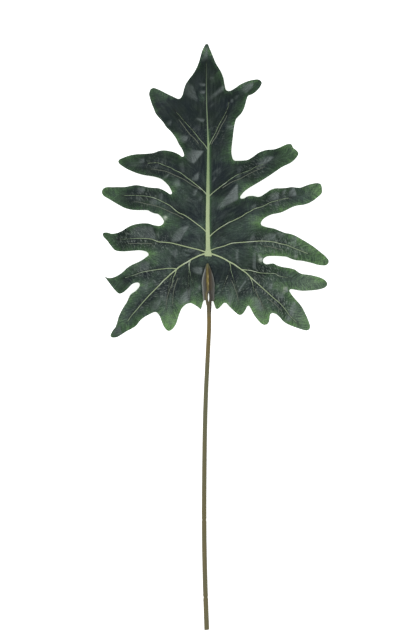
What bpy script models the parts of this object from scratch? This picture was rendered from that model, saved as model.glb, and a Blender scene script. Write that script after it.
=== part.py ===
"""An artificial philodendron leaf: a printed fabric blade on a plastic-coated wire stem.

The leaf lies flat, printed side up. Every length is in millimetres and is turned into metres
where a mesh or a curve is made. The drawing's origin is the hub where the veins meet: x runs to
the right, y towards the tip of the blade, and z = 0 is the surface that the leaf lies on. At the
end an empty moves the whole leaf, so that the middle of its box stands on the world's origin.
"""
import math

import bmesh
import bpy
from mathutils import Matrix, Vector
from mathutils.geometry import delaunay_2d_cdt, intersect_point_line

MM = 0.001

# The blade
FABRIC = 0.8                  # thickness of the blade
GRID = 7.0                    # spacing of the points inside the blade's outline
RIM_STEP = 6.0                # longest step along the outline
RIM_TURN = math.radians(22)   # an outline point is set at least this often on a bend
EDGE_MARGIN = 2.6             # an inner point keeps this far from the outline and the creases
CREASED_SHARE = 0.86          # share of each vein that is a crease in the blade

# The clip on the blade's base, and the flat part of the blade under it
CLIP_FLAT = 9.0               # height of the blade's upper face under the clip
CLIP_ZONE = (-10.0, -64.0, 10.0, -8.0)
CLIP_FADE = 16.0              # the blade leaves that height over this distance
SEAT_GAP = 0.3                # air kept between pieces that touch
PLATE_THICK = 1.2
KEEL_HEIGHT = 10.5            # height of the keel's middle line
LEG_HEIGHT = 10.38            # and of the two legs'
NECK_RADIUS = 2.35
NECK_HEIGHT = 10.3
NECK_END = -76.0              # where the clip's neck ends and the stem's coating starts

# The stem
STEM_END = -451.2
STEM_RADIUS_TOP = 2.3
STEM_RADIUS_END = 2.7
RINGS_AT = (-319.0, -412.0)   # the two moulded rings round the stem
RING_WAIST = 0.86             # share of the radius left in a ring
RING_HALF = 1.8
END_SLANT = math.radians(7)   # the cut end isn't quite square
WIRE_RADIUS = 1.0             # steel core
BORE_RADIUS = WIRE_RADIUS + SEAT_GAP
WIRE_TOP = -63.0              # the core ends in the clip's neck

# The thin wire along the back of the midrib
RIB_WIRE_RADIUS = 0.6
RIB_WIRE_FROM = -34.0
RIB_WIRE_TO = 186.0

# The blade's outline, lobe by lobe, clockwise from the tip
OUTLINE = {
    "tip_right": [(-2, 252.3), (1.8, 246), (5.8, 236), (9.8, 227), (14.4, 219.5), (18.2, 210), (19.8, 200),
                  (21.5, 196.2), (25, 195.2), (30, 197.5)],
    "right_1": [(37, 202.4), (46, 206.7), (54, 208.9), (60, 209.1), (63.8, 205.6), (62.3, 200.9),
                (57.3, 194.9), (51.3, 190.8), (47.6, 189.2), (45.2, 182.6), (41.8, 172.6), (37.4, 165.9), (33.2, 161.6),
                (31, 153), (29, 138), (27.6, 124), (28.2, 116.5), (31, 112)],
    "right_2": [(37, 111.8), (47, 112.7), (52, 115.5), (60, 121.2), (68, 124.3), (80, 125.8),
                (89, 129.5), (95, 132.1), (99.5, 131.5), (101.8, 127), (105.5, 124.5),
                (107.8, 120.5), (104.4, 114.4), (97.5, 108.6), (89.5, 105), (80.6, 98.9), (71.6, 92.8),
                (62.6, 87.3), (53.6, 82), (45.5, 76.7), (40.8, 72.4), (38.2, 67.2)],
    "right_3": [(41, 66.3), (47, 69), (52, 69.6), (60, 68.4), (66, 71), (73, 76), (80, 78.6),
                (90, 78.8), (101, 80.4), (109, 79.5), (119, 82.9), (129.5, 85.3), (134.6, 84),
                (136.1, 80), (135.8, 73), (131, 68.2), (122, 61.8), (115, 59.2), (103, 57.2), (94, 52.8),
                (86, 49.3), (76, 47.4), (68, 43.5), (64, 39.8), (63, 35.5)],
    "right_4": [(68, 32.7), (80, 30), (90, 25.8), (101, 23.3), (112, 17.5), (124.6, 9.8), (134.4, 2.4),
                (141.2, -3.6), (144.3, -8.7), (142.3, -12.7), (135, -13.6), (122, -10.4), (110, -7.9),
                (102, -7), (96, -4.2), (87, -2.8), (76, -2.5), (69.5, -3.3), (65.2, -8)],
    "right_5": [(68, -12), (78, -11.5), (85, -14.8), (97, -16.8), (104.5, -19.2), (110, -23.1),
                (122, -25.2), (134, -28.2), (140.1, -31.6), (142.5, -36.2), (139.8, -40.1), (133, -42.5),
                (120, -44), (109, -44), (102, -42.4), (97.3, -43)],
    "right_6": [(99, -47.5), (104, -54), (111, -62), (117, -73), (121.3, -83.5), (121.9, -88.7),
                (119, -91.6), (112, -90.5), (100, -86.3), (91, -81.8), (84, -74.5), (79.5, -71.3),
                (75, -71.5)],
    "right_7": [(73.2, -77), (72, -82.5), (68.5, -85), (64.5, -84.2), (59, -79), (53, -70.5),
                (50, -64), (47.8, -62)],
    "right_8": [(45, -66), (41.5, -71.3), (37.5, -73.2), (32.5, -70.2), (26, -64), (19.5, -58.7)],
    "right_9": [(14.5, -63), (10, -66), (7.6, -63), (6.3, -58), (3.6, -50)],
    "notch": [(0.2, -40)],
    "left_9": [(-3.4, -50), (-6, -56), (-7.6, -62), (-9.2, -66.5), (-14, -62.7), (-22, -59)],
    "left_7": [(-28.5, -61.5), (-33, -67), (-36, -75), (-39.5, -85), (-44, -90.7), (-48, -92.3),
               (-52, -89.3), (-56, -81.5), (-59.5, -73), (-63.5, -69.7)],
    "left_6": [(-70, -72), (-80, -78), (-88, -87), (-97, -92), (-104, -96.4), (-112, -100.3),
               (-117.5, -98.8), (-116.5, -94.5), (-111, -86), (-108.3, -76.5), (-103, -65.5),
               (-97, -56), (-93.5, -48.7), (-86.5, -43.5), (-83, -39), (-83, -35.3)],
    "left_5": [(-90, -35.5), (-96, -40.8), (-102, -46), (-107, -47.6), (-111, -44.5),
               (-118.5, -35.5), (-125, -26.7), (-120, -28.7), (-114, -28), (-105, -23.3),
               (-95, -14.8), (-84, -9.5), (-74.5, -3.8), (-71.8, -0.5)],
    "left_4": [(-76, 3.3), (-90, 3.8), (-102, 3), (-110, 3.7), (-115, 7), (-120, 14.3),
               (-125.5, 20), (-126.3, 24.8), (-122, 25.8), (-115, 24.3), (-105, 27), (-94, 33.5),
               (-84, 36.2), (-72, 36.5), (-64, 34.2), (-57, 34.3)],
    "left_3": [(-53.5, 38.8), (-55, 42.3), (-60, 47.5), (-67, 49.2), (-73, 52.3), (-84, 52.4),
               (-98, 54.3), (-110, 60.2), (-120, 66.3), (-126.5, 70.5), (-128, 75), (-125, 79.3),
               (-115, 80.3), (-98, 80.6), (-89, 82.5), (-81, 81.8), (-70, 79.5), (-60, 78.8),
               (-51, 75), (-44.5, 71.8)],
    "left_2": [(-45.5, 77.5), (-50, 84), (-58, 90.5), (-65, 92.5), (-78, 94.7), (-90, 98.5),
               (-102, 104.5), (-107.5, 109), (-108.2, 112), (-103, 115.3), (-92, 119), (-78, 120.1),
               (-66, 121.1), (-57, 123.9), (-47, 123.3), (-37, 120.2), (-30.3, 116.7)],
    "left_1": [(-30.5, 123), (-35, 130.5), (-39, 138.5), (-45, 146.5), (-50.5, 152), (-56, 160),
               (-61.5, 165.5), (-66, 175), (-70, 186), (-71.2, 193), (-67.5, 199), (-60, 197.3),
               (-50, 192.3), (-42, 188.5), (-35, 186)],
    "tip_left": [(-31, 191), (-28.5, 201), (-23.3, 209.8), (-17.8, 217), (-12.5, 227.5), (-8.8, 240),
                 (-5.3, 249)],
}
SHARP_POINTS = [(0.2, -40), (-125, -26.7), (-9.2, -66.5)]

# Each vein runs from its parent to its lobe's tip. The rises are the heights that pull the vein
# up on its way out, and the last one is its height at the tip: below 0 the lobe rests there.
VEINS = {
    "midrib": (None, (18, 36, -1),
               [(0, -34), (-0.8, 0), (-0.5, 65), (-0.2, 125), (-1.3, 158), (-2.3, 198),
                (-2.3, 225), (-2, 250)]),
    "left_1": ("midrib", (24, 18, 5),
               [(-0.3, 124), (-10, 136.5), (-20, 149), (-31, 161), (-40, 171), (-56, 184),
                (-66, 194)]),
    "right_1": ("midrib", (22, 18, 13),
                [(-0.2, 127), (4, 137), (11, 151), (18, 164), (24, 177), (34, 190), (48, 200),
                 (60, 206)]),
    "left_2": ("midrib", (25, 20, -2.5),
               [(-0.5, 69), (-10, 79), (-25, 90.5), (-38, 99.3), (-50, 105), (-65, 108.5),
                (-85, 109.5), (-104, 111.5)]),
    "right_2": ("midrib", (26, 22, 6),
                [(-0.5, 68), (5, 73), (20, 84.5), (35, 95), (50, 100.5), (65, 107), (82, 114),
                 (102, 121)]),
    "left_3": ("midrib", (21, 20, 4),
               [(-0.7, 24), (-8, 31.5), (-20, 40.5), (-30, 47), (-40, 52.5), (-50, 60), (-65, 67),
                (-85, 69.8), (-105, 71), (-124, 74)]),
    "right_3": ("midrib", (22, 21, -3),
                [(-0.7, 19), (5, 24.5), (15, 32), (30, 40), (45, 48.5), (60, 55.5), (80, 63.3),
                 (100, 68.5), (118, 72), (133, 77)]),
    "left_4": ("midrib", (15, 19, 11),
               [(-0.8, 1), (-10, 4.5), (-30, 9.5), (-50, 13.8), (-70, 18), (-90, 18.5),
                (-108, 17), (-121, 21)]),
    "right_4": ("midrib", (16, 18, 3),
                [(-0.8, 1), (10, 6), (25, 12.5), (45, 14.2), (65, 15.5), (80, 14), (95, 10.3),
                 (110, 4), (126, -2), (141, -8.5)]),
    "left_6": ("midrib", (15, 15, -3),
               [(-0.8, 0), (-12, -2.3), (-25, -9.5), (-38.5, -18.5), (-54, -32), (-70, -48.5),
                (-85, -65.5), (-99, -82), (-113, -96)]),
    "right_6": ("midrib", (15, 16, -3),
                [(-0.8, 0), (8, -1.3), (20, -6.5), (35, -15.5), (50, -27.5), (65, -41),
                 (85, -58.5), (98, -74.5), (117, -88)]),
    "left_5": ("left_6", (16, 13, 12),
               [(-38.5, -18.5), (-55, -18), (-70, -20), (-85, -23.8), (-100, -29), (-112, -33),
                (-119, -31)]),
    "right_5": ("right_6", (15, 15, 6),
                [(41, -20), (50, -19.7), (65, -23), (80, -23.7), (95, -28.5), (115, -33),
                 (138, -36)]),
    "left_7": ("left_6", (12, 10, 3.5),
               [(-38.5, -18.5), (-42, -28), (-44, -42), (-46.5, -65), (-47.5, -88)]),
    "right_7": ("right_6", (12, 11, 5),
                [(50, -27.5), (54, -40), (58, -55), (63, -68), (67.5, -81)]),
    "right_8": ("right_6", (9.5, 8, 6), [(25, -9.5), (28.5, -25), (33, -42), (37, -69)]),
    "left_9": ("left_6", (9, 8, 7), [(-21, -7.2), (-23, -20), (-20, -38), (-13, -60)]),
    "right_9": ("right_6", (9, 8, 7.5), [(25, -9.5), (22, -30), (16, -45), (10.5, -62)]),
}
VALLEY = 1.6                  # the fabric rises this much beside a vein
VALLEY_WIDTH = 5.0
DROOP = 3.2                   # a lobe's edges fall this much at the droop width
DROOP_WIDTH = 20.0
WAVE = 2.8                    # height of the waves along a lobe's edges
WAVE_LENGTH = 36.0
WAVE_WIDTH = 14.0             # distance from the vein where the waves reach their height
WAVE_SHIFT = 2.4              # the waves of one lobe start this much later than the last one's
SIDE_SHIFT = 2.1              # and those on a lobe's right side later than on its left side
BLEND_REACH = 9.0             # square of the distance over which two veins share the fabric

# The clip's outline, its keel and its two legs, each keel or leg point with a radius
PLATE_OUTLINE = [(-1.2, -11), (1.6, -15.5), (3.8, -21), (5.8, -27), (6.8, -34), (6.6, -42),
                 (6.2, -50), (6.4, -56.2), (3.2, -56.2), (-2.8, -55.2), (-5.9, -55.2), (-6.6, -49),
                 (-7.5, -41), (-8.1, -33.7), (-7, -26.5), (-5.4, -21), (-3.4, -15)]
PLATE_CORNERS = [(6.4, -56.2), (3.2, -56.2), (-2.8, -55.2), (-5.9, -55.2)]
KEEL = [(-1.2, -12.4, 0.7), (-1.1, -16, 1.2), (-1.0, -24, 1.7), (-0.7, -34, 2.0), (-0.3, -43, 2.1),
        (0.1, -47.5, 1.9)]
LEG_LEFT = [(-0.9, -42, 1.2), (-1.9, -49, 1.3), (-1.9, -54, 1.3), (-0.7, -61, 1.5)]
LEG_RIGHT = [(0.7, -42, 1.2), (2.1, -49, 1.3), (2.2, -54, 1.3), (1.6, -61, 1.5)]
NECK = [(0.75, -57.5, 2.0), (0.8, -60, NECK_RADIUS), (0.65, NECK_END, NECK_RADIUS)]
SLOT = [(0.1, -46.4), (0.95, -51), (0.8, -55), (0.2, -58.4), (-0.6, -55), (-0.75, -51)]

# The stem's middle line: x, y and its height, which settles to its radius on the surface
STEM_LINE = [(0.65, -70, NECK_HEIGHT), (0.6, -90, 9.7), (-1.2, -128, 7.3), (-3.1, -168, 4.7),
             (-4.3, -210, 3.1), (-5, -262, 2.55), (-5.25, -310, 2.6), (-4.95, -352, 2.63),
             (-4.1, -392, 2.66), (-3.1, -422, 2.68), (-1.9, -456, 2.7)]
STEM_STEP = 12.0


def clear_scene():
    for old in list(bpy.data.objects):
        bpy.data.objects.remove(old, do_unlink=True)


def new_collection(name):
    collection = bpy.data.collections.new(name)
    bpy.context.scene.collection.children.link(collection)
    return collection


def new_material(name, colour, roughness, metallic=0.0):
    material = bpy.data.materials.new(name)
    material.use_nodes = True
    shader = material.node_tree.nodes["Principled BSDF"]
    shader.inputs["Base Color"].default_value = (*colour, 1.0)
    shader.inputs["Roughness"].default_value = roughness
    shader.inputs["Metallic"].default_value = metallic
    return material


def distance_2d(a, b):
    return math.hypot(b[0] - a[0], b[1] - a[1])


def smoothstep(value):
    value = min(1.0, max(0.0, value))
    return value * value * (3 - 2 * value)


def mesh_of(thing):
    """The finished mesh of an object, with its loose caps joined on."""
    bpy.context.view_layer.update()
    evaluated = thing.evaluated_get(bpy.context.evaluated_depsgraph_get())
    mesh = bpy.data.meshes.new_from_object(evaluated)
    shape = bmesh.new()
    shape.from_mesh(mesh)
    bmesh.ops.remove_doubles(shape, verts=shape.verts, dist=0.00001)
    shape.to_mesh(mesh)
    shape.free()
    return mesh


def smooth_curve(name, points, corners, closed):
    """A flat curve through the points, in millimetres, with sharp ends at the named corners."""
    curve = bpy.data.curves.new(name, "CURVE")
    curve.dimensions = "2D"
    curve.fill_mode = "NONE"
    spline = curve.splines.new("BEZIER")
    spline.bezier_points.add(len(points) - 1)
    for knot, (x, y) in zip(spline.bezier_points, points):
        knot.co = (x * MM, y * MM, 0.0)
        kind = "VECTOR" if (x, y) in corners else "AUTO"
        knot.handle_left_type = kind
        knot.handle_right_type = kind
    spline.use_cyclic_u = closed
    return bpy.data.objects.new(name, curve)


def outline_points():
    """The blade's outline: close together on its bends and further apart where it runs straight."""
    knots = [point for lobe in OUTLINE.values() for point in lobe]
    guide = smooth_curve("blade_outline", knots, SHARP_POINTS, True)
    guide.data.resolution_u = 8
    bpy.context.scene.collection.objects.link(guide)
    line = [(v.co.x / MM, v.co.y / MM) for v in mesh_of(guide).vertices]
    bpy.data.objects.remove(guide, do_unlink=True)
    kept = [line[0]]
    turned = 0.0
    for before, here, after in zip(line, line[1:], line[2:] + line[:1]):
        heading = math.atan2(here[1] - before[1], here[0] - before[0])
        onward = math.atan2(after[1] - here[1], after[0] - here[0])
        bend = abs(math.remainder(onward - heading, math.tau))
        turned += bend
        step = distance_2d(kept[-1], here)
        if (turned > RIM_TURN and step > 1.2) or step > RIM_STEP or bend > math.radians(40):
            kept.append(here)
            turned = 0.0
    return kept


def walk(points, step):
    """Points along a line of straight runs, each run cut into equal steps no longer than step."""
    walked = [points[0]]
    for start, stop in zip(points, points[1:]):
        cuts = max(1, math.ceil(distance_2d(start, stop) / step))
        for i in range(1, cuts + 1):
            share = i / cuts
            walked.append(tuple(a + (b - a) * share for a, b in zip(start, stop)))
    return walked


class Vein:
    """One vein, with the shape that it gives to the fabric round it."""

    def __init__(self, order, parent, points, heights):
        self.parent = parent
        self.points = points
        self.heights = heights
        self.phase = order * WAVE_SHIFT
        self.starts = [0.0]
        for a, b in zip(points, points[1:]):
            self.starts.append(self.starts[-1] + distance_2d(a, b))
        self.length = self.starts[-1]

    def nearest(self, x, y):
        """Distance to the vein, the side as +1 left or -1 right, and how far along it."""
        best = (1e9, 1.0, 0.0)
        for start, a, b in zip(self.starts, self.points, self.points[1:]):
            dx, dy = b[0] - a[0], b[1] - a[1]
            share = ((x - a[0]) * dx + (y - a[1]) * dy) / (dx * dx + dy * dy)
            share = min(1.0, max(0.0, share))
            away = math.hypot(x - a[0] - share * dx, y - a[1] - share * dy)
            if away < best[0]:
                side = 1.0 if dx * (y - a[1]) - dy * (x - a[0]) >= 0 else -1.0
                best = (away, side, start + share * math.hypot(dx, dy))
        return best

    def line_height(self, along):
        """Height of the vein itself: one cubic curve from its root to its tip."""
        t = along / self.length
        root, first, second, tip = self.heights
        s = 1 - t
        return s ** 3 * root + 3 * s * s * t * first + 3 * s * t * t * second + t ** 3 * tip

    def fabric_height(self, away, side, along):
        valley = VALLEY * (1 - math.exp(-(away / VALLEY_WIDTH) ** 2))
        droop = DROOP * (min(away, 1.4 * DROOP_WIDTH) / DROOP_WIDTH) ** 2
        turn = math.tau * along / WAVE_LENGTH + self.phase + (SIDE_SHIFT if side < 0 else 0.0)
        wave = WAVE * min(1.0, (away / WAVE_WIDTH) ** 2) * math.sin(turn)
        return self.line_height(along) + valley - droop + wave


def make_veins():
    veins = {}
    for order, (name, (parent, rises, points)) in enumerate(VEINS.items()):
        stock = veins.get(parent)
        root = stock.line_height(stock.nearest(*points[0])[2]) if stock else CLIP_FLAT
        veins[name] = Vein(order, stock, points, (root, *rises))
    return veins


def blade_height(veins, x, y):
    """Height of the blade's upper face: each vein counts by how near it is."""
    total = 0.0
    weight = 0.0
    for vein in veins.values():
        away, side, along = vein.nearest(x, y)
        share = 1 / (away * away + BLEND_REACH) ** 2
        total += share * vein.fabric_height(away, side, along)
        weight += share
    left, low, right, high = CLIP_ZONE
    outside = math.hypot(max(left - x, 0, x - right), max(low - y, 0, y - high))
    free = smoothstep(outside / CLIP_FADE)
    height = CLIP_FLAT + (total / weight - CLIP_FLAT) * free
    return max(height, FABRIC)


def inside(line, x, y):
    """Whether a point lies inside a closed line."""
    odd = False
    for (ax, ay), (bx, by) in zip(line, line[1:] + line[:1]):
        if (ay > y) != (by > y) and x < ax + (y - ay) / (by - ay) * (bx - ax):
            odd = not odd
    return odd


def gap_to(spot, start, stop):
    """Distance from a point to a straight run."""
    on_line, share = intersect_point_line(spot, start, stop)
    if share < 0:
        return (spot - start).length
    if share > 1:
        return (spot - stop).length
    return (spot - on_line.xy).length


def crease_points(vein):
    """The part of a vein that is a crease, in steps as long as the grid's, clear of its parent."""
    points = walk(vein.points, GRID)
    points = points[:round(len(points) * CREASED_SHARE)]
    if vein.parent:
        points = [p for p in points if vein.parent.nearest(*p)[0] > EDGE_MARGIN]
    return points


def make_blade(collection, material, veins):
    """The blade: a triangle sheet cut to the outline, creased at the veins, then thickened."""
    rim = outline_points()
    verts = [Vector(point) for point in rim]
    edges = [(i, (i + 1) % len(rim)) for i in range(len(rim))]
    for vein in veins.values():
        crease = crease_points(vein)
        edges.extend((len(verts) + i, len(verts) + i + 1) for i in range(len(crease) - 1))
        verts.extend(Vector(point) for point in crease)
    fixed = [(verts[a], verts[b]) for a, b in edges]
    row_step = GRID * math.sqrt(3) / 2
    low_x, low_y = min(p[0] for p in rim), min(p[1] for p in rim)
    for row in range(math.ceil((max(p[1] for p in rim) - low_y) / row_step)):
        for column in range(math.ceil((max(p[0] for p in rim) - low_x) / GRID)):
            spot = Vector((low_x + (column + row % 2 / 2) * GRID, low_y + row * row_step))
            if inside(rim, *spot) and min(gap_to(spot, *run) for run in fixed) > EDGE_MARGIN:
                verts.append(spot)
    flat, _, faces, _, _, _ = delaunay_2d_cdt(verts, edges, [], 1, 0.0001)
    mesh = bpy.data.meshes.new("leaf_blade")
    heights = [blade_height(veins, p.x, p.y) for p in flat]
    mesh.from_pydata([(p.x * MM, p.y * MM, h * MM) for p, h in zip(flat, heights)], [], faces)
    blade = bpy.data.objects.new("leaf_blade", mesh)
    blade.data.materials.append(material)
    collection.objects.link(blade)
    sheet = bmesh.new()
    sheet.from_mesh(mesh)
    loose = [v for v in sheet.verts if not v.link_faces]
    bmesh.ops.delete(sheet, geom=loose, context="VERTS")
    bmesh.ops.reverse_faces(sheet, faces=[f for f in sheet.faces if f.normal.z < 0])
    sheet.to_mesh(mesh)
    sheet.free()
    mesh.shade_smooth()
    thick = blade.modifiers.new("fabric", "SOLIDIFY")
    thick.thickness = FABRIC * MM
    thick.offset = -1.0
    return blade


def tube(name, points, sides_setting=4):
    """A round bar along points of x, y, z and radius, in millimetres, as a closed mesh object."""
    curve = bpy.data.curves.new(name, "CURVE")
    curve.dimensions = "3D"
    curve.bevel_depth = MM
    curve.bevel_resolution = sides_setting
    curve.use_fill_caps = True
    spline = curve.splines.new("POLY")
    spline.points.add(len(points) - 1)
    for knot, (x, y, z, radius) in zip(spline.points, points):
        knot.co = (x * MM, y * MM, z * MM, 1.0)
        knot.radius = radius
    bar = bpy.data.objects.new(name + "_curve", curve)
    bpy.context.scene.collection.objects.link(bar)
    solid = bpy.data.objects.new(name, mesh_of(bar))
    bpy.data.objects.remove(bar, do_unlink=True)
    return solid


def helper(thing, collection):
    """Marks a cutter or a piece that is only joined into another one."""
    collection.objects.link(thing)
    thing.hide_render = True
    thing.display_type = "WIRE"
    return thing


def boolean(target, operation, other):
    step = target.modifiers.new(other.name, "BOOLEAN")
    step.operation = operation
    step.solver = "EXACT"
    step.object = other


def plate(name, points, corners, thickness, middle):
    """A flat outline with a thickness, its middle at the given height."""
    outline = smooth_curve(name + "_curve", points, corners, True)
    outline.data.fill_mode = "BOTH"
    outline.data.extrude = thickness / 2 * MM
    outline.data.resolution_u = 4
    bpy.context.scene.collection.objects.link(outline)
    mesh = mesh_of(outline)
    bpy.data.objects.remove(outline, do_unlink=True)
    solid = bpy.data.objects.new(name, mesh)
    mesh.transform(Matrix.Translation((0.0, 0.0, middle * MM)))
    return solid


def box(name, low, high):
    shape = bmesh.new()
    bmesh.ops.create_cube(shape, size=1.0)
    size = [(b - a) * MM for a, b in zip(low, high)]
    middle = [(a + b) / 2 * MM for a, b in zip(low, high)]
    bmesh.ops.scale(shape, vec=size, verts=shape.verts)
    bmesh.ops.translate(shape, vec=middle, verts=shape.verts)
    mesh = bpy.data.meshes.new(name)
    shape.to_mesh(mesh)
    shape.free()
    return bpy.data.objects.new(name, mesh)


def with_height(points, height):
    return [(x, y, height, radius) for x, y, radius in points]


def make_clip(collection, cutters, material, bore):
    """The moulded clip: a spearhead plate with a keel that forks into two legs and a neck."""
    underside = CLIP_FLAT + SEAT_GAP
    middle = underside + PLATE_THICK / 2
    clip = plate("leaf_clip", PLATE_OUTLINE, PLATE_CORNERS, PLATE_THICK, middle)
    clip.data.materials.append(material)
    collection.objects.link(clip)
    bars = bpy.data.collections.new("clip_bars")
    cutters.children.link(bars)
    for name, line, height in (("clip_keel", KEEL, KEEL_HEIGHT),
                               ("clip_leg_left", LEG_LEFT, LEG_HEIGHT),
                               ("clip_leg_right", LEG_RIGHT, LEG_HEIGHT + 0.03),
                               ("clip_neck", NECK, NECK_HEIGHT)):
        helper(tube(name, with_height(line, height)), bars)
    join = clip.modifiers.new("join", "BOOLEAN")
    join.operation = "UNION"
    join.solver = "EXACT"
    join.operand_type = "COLLECTION"
    join.collection = bars
    trim = box("clip_underside", (-9, -46, 0), (9, -5, underside))
    boolean(clip, "DIFFERENCE", helper(trim, cutters))
    slot = plate("clip_slot", SLOT, [SLOT[0], SLOT[3]], 4 * NECK_RADIUS, NECK_HEIGHT - 0.17)
    boolean(clip, "DIFFERENCE", helper(slot, cutters))
    boolean(clip, "DIFFERENCE", bore)
    return clip


def stem_radius(y):
    share = (y - NECK_END) / (STEM_END - NECK_END)
    return STEM_RADIUS_TOP + (STEM_RADIUS_END - STEM_RADIUS_TOP) * min(1.0, max(0.0, share))


def stem_line(top, bottom):
    """The stem's middle line from y = top to y = bottom, smooth, with extra points at each ring."""
    stations = []
    y = top
    while y > bottom + STEM_STEP / 2:
        stations.append(y)
        y -= STEM_STEP
    stations.append(bottom)
    for ring in RINGS_AT:
        if top > ring > bottom:
            around = [ring + RING_HALF, ring, ring - RING_HALF]
            stations = [s for s in stations if abs(s - ring) > 2 * RING_HALF] + around
    stations.sort(reverse=True)
    line = []
    for y in stations:
        i = 0
        while i < len(STEM_LINE) - 2 and y < STEM_LINE[i + 1][1]:
            i += 1
        a, b = STEM_LINE[i], STEM_LINE[i + 1]
        before = STEM_LINE[max(i - 1, 0)]
        after = STEM_LINE[min(i + 2, len(STEM_LINE) - 1)]
        t = (y - a[1]) / (b[1] - a[1])
        place = [y, y]
        for slot, axis in enumerate((0, 2)):
            span = b[1] - a[1]
            slope_a = (b[axis] - before[axis]) / (b[1] - before[1]) * span
            slope_b = (after[axis] - a[axis]) / (after[1] - a[1]) * span
            place[slot] = ((2 * t ** 3 - 3 * t * t + 1) * a[axis] + (t ** 3 - 2 * t * t + t) * slope_a
                           + (3 * t * t - 2 * t ** 3) * b[axis] + (t ** 3 - t * t) * slope_b)
        line.append((place[0], y, place[1]))
    return line


def bore_along_stem(name, radius, top, bottom):
    """A round bar along the stem's middle line, straight on into the clip's neck."""
    line = [(x, y, z, radius) for x, y, z in stem_line(-70.0, bottom)]
    return tube(name, [(0.7, top, NECK_HEIGHT, radius)] + line, sides_setting=2)


def make_stem(collection, cutters, material, bore):
    """The stem's plastic coating: a slightly tapered tube with two moulded rings."""
    points = []
    for x, y, z in stem_line(NECK_END - SEAT_GAP, STEM_LINE[-1][1]):
        waist = RING_WAIST if y in RINGS_AT else 1.0
        points.append((x, y, max(z, stem_radius(y)), stem_radius(y) * waist))
    stem = tube("stem", points)
    stem.data.materials.append(material)
    collection.objects.link(stem)
    boolean(stem, "DIFFERENCE", bore)
    boolean(stem, "DIFFERENCE", cutters.objects["cut_end"])
    return stem


def make_core(collection, cutters, material):
    """The steel core, from the cut end of the stem up into the clip's neck."""
    core = bore_along_stem("stem_wire", WIRE_RADIUS, WIRE_TOP, STEM_LINE[-1][1])
    core.data.materials.append(material)
    collection.objects.link(core)
    boolean(core, "DIFFERENCE", cutters.objects["cut_end"])
    return core


def make_rib_wire(collection, material, veins):
    """The thin wire that is glued along the back of the midrib."""
    drop = FABRIC + SEAT_GAP + RIB_WIRE_RADIUS + 0.08
    line = [(x, y, blade_height(veins, x, y) - drop, RIB_WIRE_RADIUS)
            for x, y in crease_points(veins["midrib"])
            if RIB_WIRE_FROM <= y <= RIB_WIRE_TO]
    wire = tube("midrib_wire", line, sides_setting=2)
    wire.data.materials.append(material)
    collection.objects.link(wire)
    return wire


def stand_on_origin(collection):
    """Moves the whole leaf so that the middle of its box stands on the origin."""
    bpy.context.view_layer.update()
    corners = []
    for thing in collection.objects:
        evaluated = thing.evaluated_get(bpy.context.evaluated_depsgraph_get())
        corners.extend(evaluated.matrix_world @ v.co for v in evaluated.data.vertices)
    low = [min(c[i] for c in corners) for i in range(3)]
    high = [max(c[i] for c in corners) for i in range(3)]
    frame = bpy.data.objects.new("leaf_frame", None)
    frame.location = (-(low[0] + high[0]) / 2, -(low[1] + high[1]) / 2, -low[2])
    bpy.context.scene.collection.objects.link(frame)
    for thing in bpy.data.objects:
        if thing.type == "MESH":
            thing.parent = frame
    bpy.context.view_layer.update()


def main():
    clear_scene()
    leaf = new_collection("philodendron_leaf")
    cutters = new_collection("cutters")
    fabric = new_material("printed_fabric", (0.028, 0.06, 0.035), 0.6)
    clip_plastic = new_material("brown_plastic", (0.13, 0.09, 0.055), 0.5)
    coating = new_material("olive_plastic", (0.15, 0.13, 0.07), 0.5)
    steel = new_material("steel_wire", (0.45, 0.44, 0.42), 0.35, 1.0)

    past_end = box("cut_end", (-30, -30, -30), (30, 0, 30))
    past_end.data.transform(Matrix.Rotation(END_SLANT, 4, "Z"))
    past_end.data.transform(Matrix.Translation((-1.9 * MM, STEM_END * MM, 0.0)))
    helper(past_end, cutters)
    bore = helper(bore_along_stem("wire_bore", BORE_RADIUS, WIRE_TOP + SEAT_GAP, -470.0), cutters)

    veins = make_veins()
    make_blade(leaf, fabric, veins)
    make_clip(leaf, cutters, clip_plastic, bore)
    make_stem(leaf, cutters, coating, bore)
    make_core(leaf, cutters, steel)
    make_rib_wire(leaf, steel, veins)
    stand_on_origin(leaf)


main()
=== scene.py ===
"""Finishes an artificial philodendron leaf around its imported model.

The leaf is drawn in millimetres: the hub where the veins meet is the drawing's origin, x runs to
the right and y to the tip of the blade. place() turns such a point into the model's own metres.
Sizes and places below that state no unit are millimetres on that drawing.
"""
import math
import random

import bmesh
import bpy
import numpy as np
from bpy.props import FloatProperty, FloatVectorProperty, IntProperty, PointerProperty
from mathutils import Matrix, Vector
from mathutils.bvhtree import BVHTree
from mathutils.geometry import delaunay_2d_cdt
from mathutils.kdtree import KDTree
from mathutils.noise import noise


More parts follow.
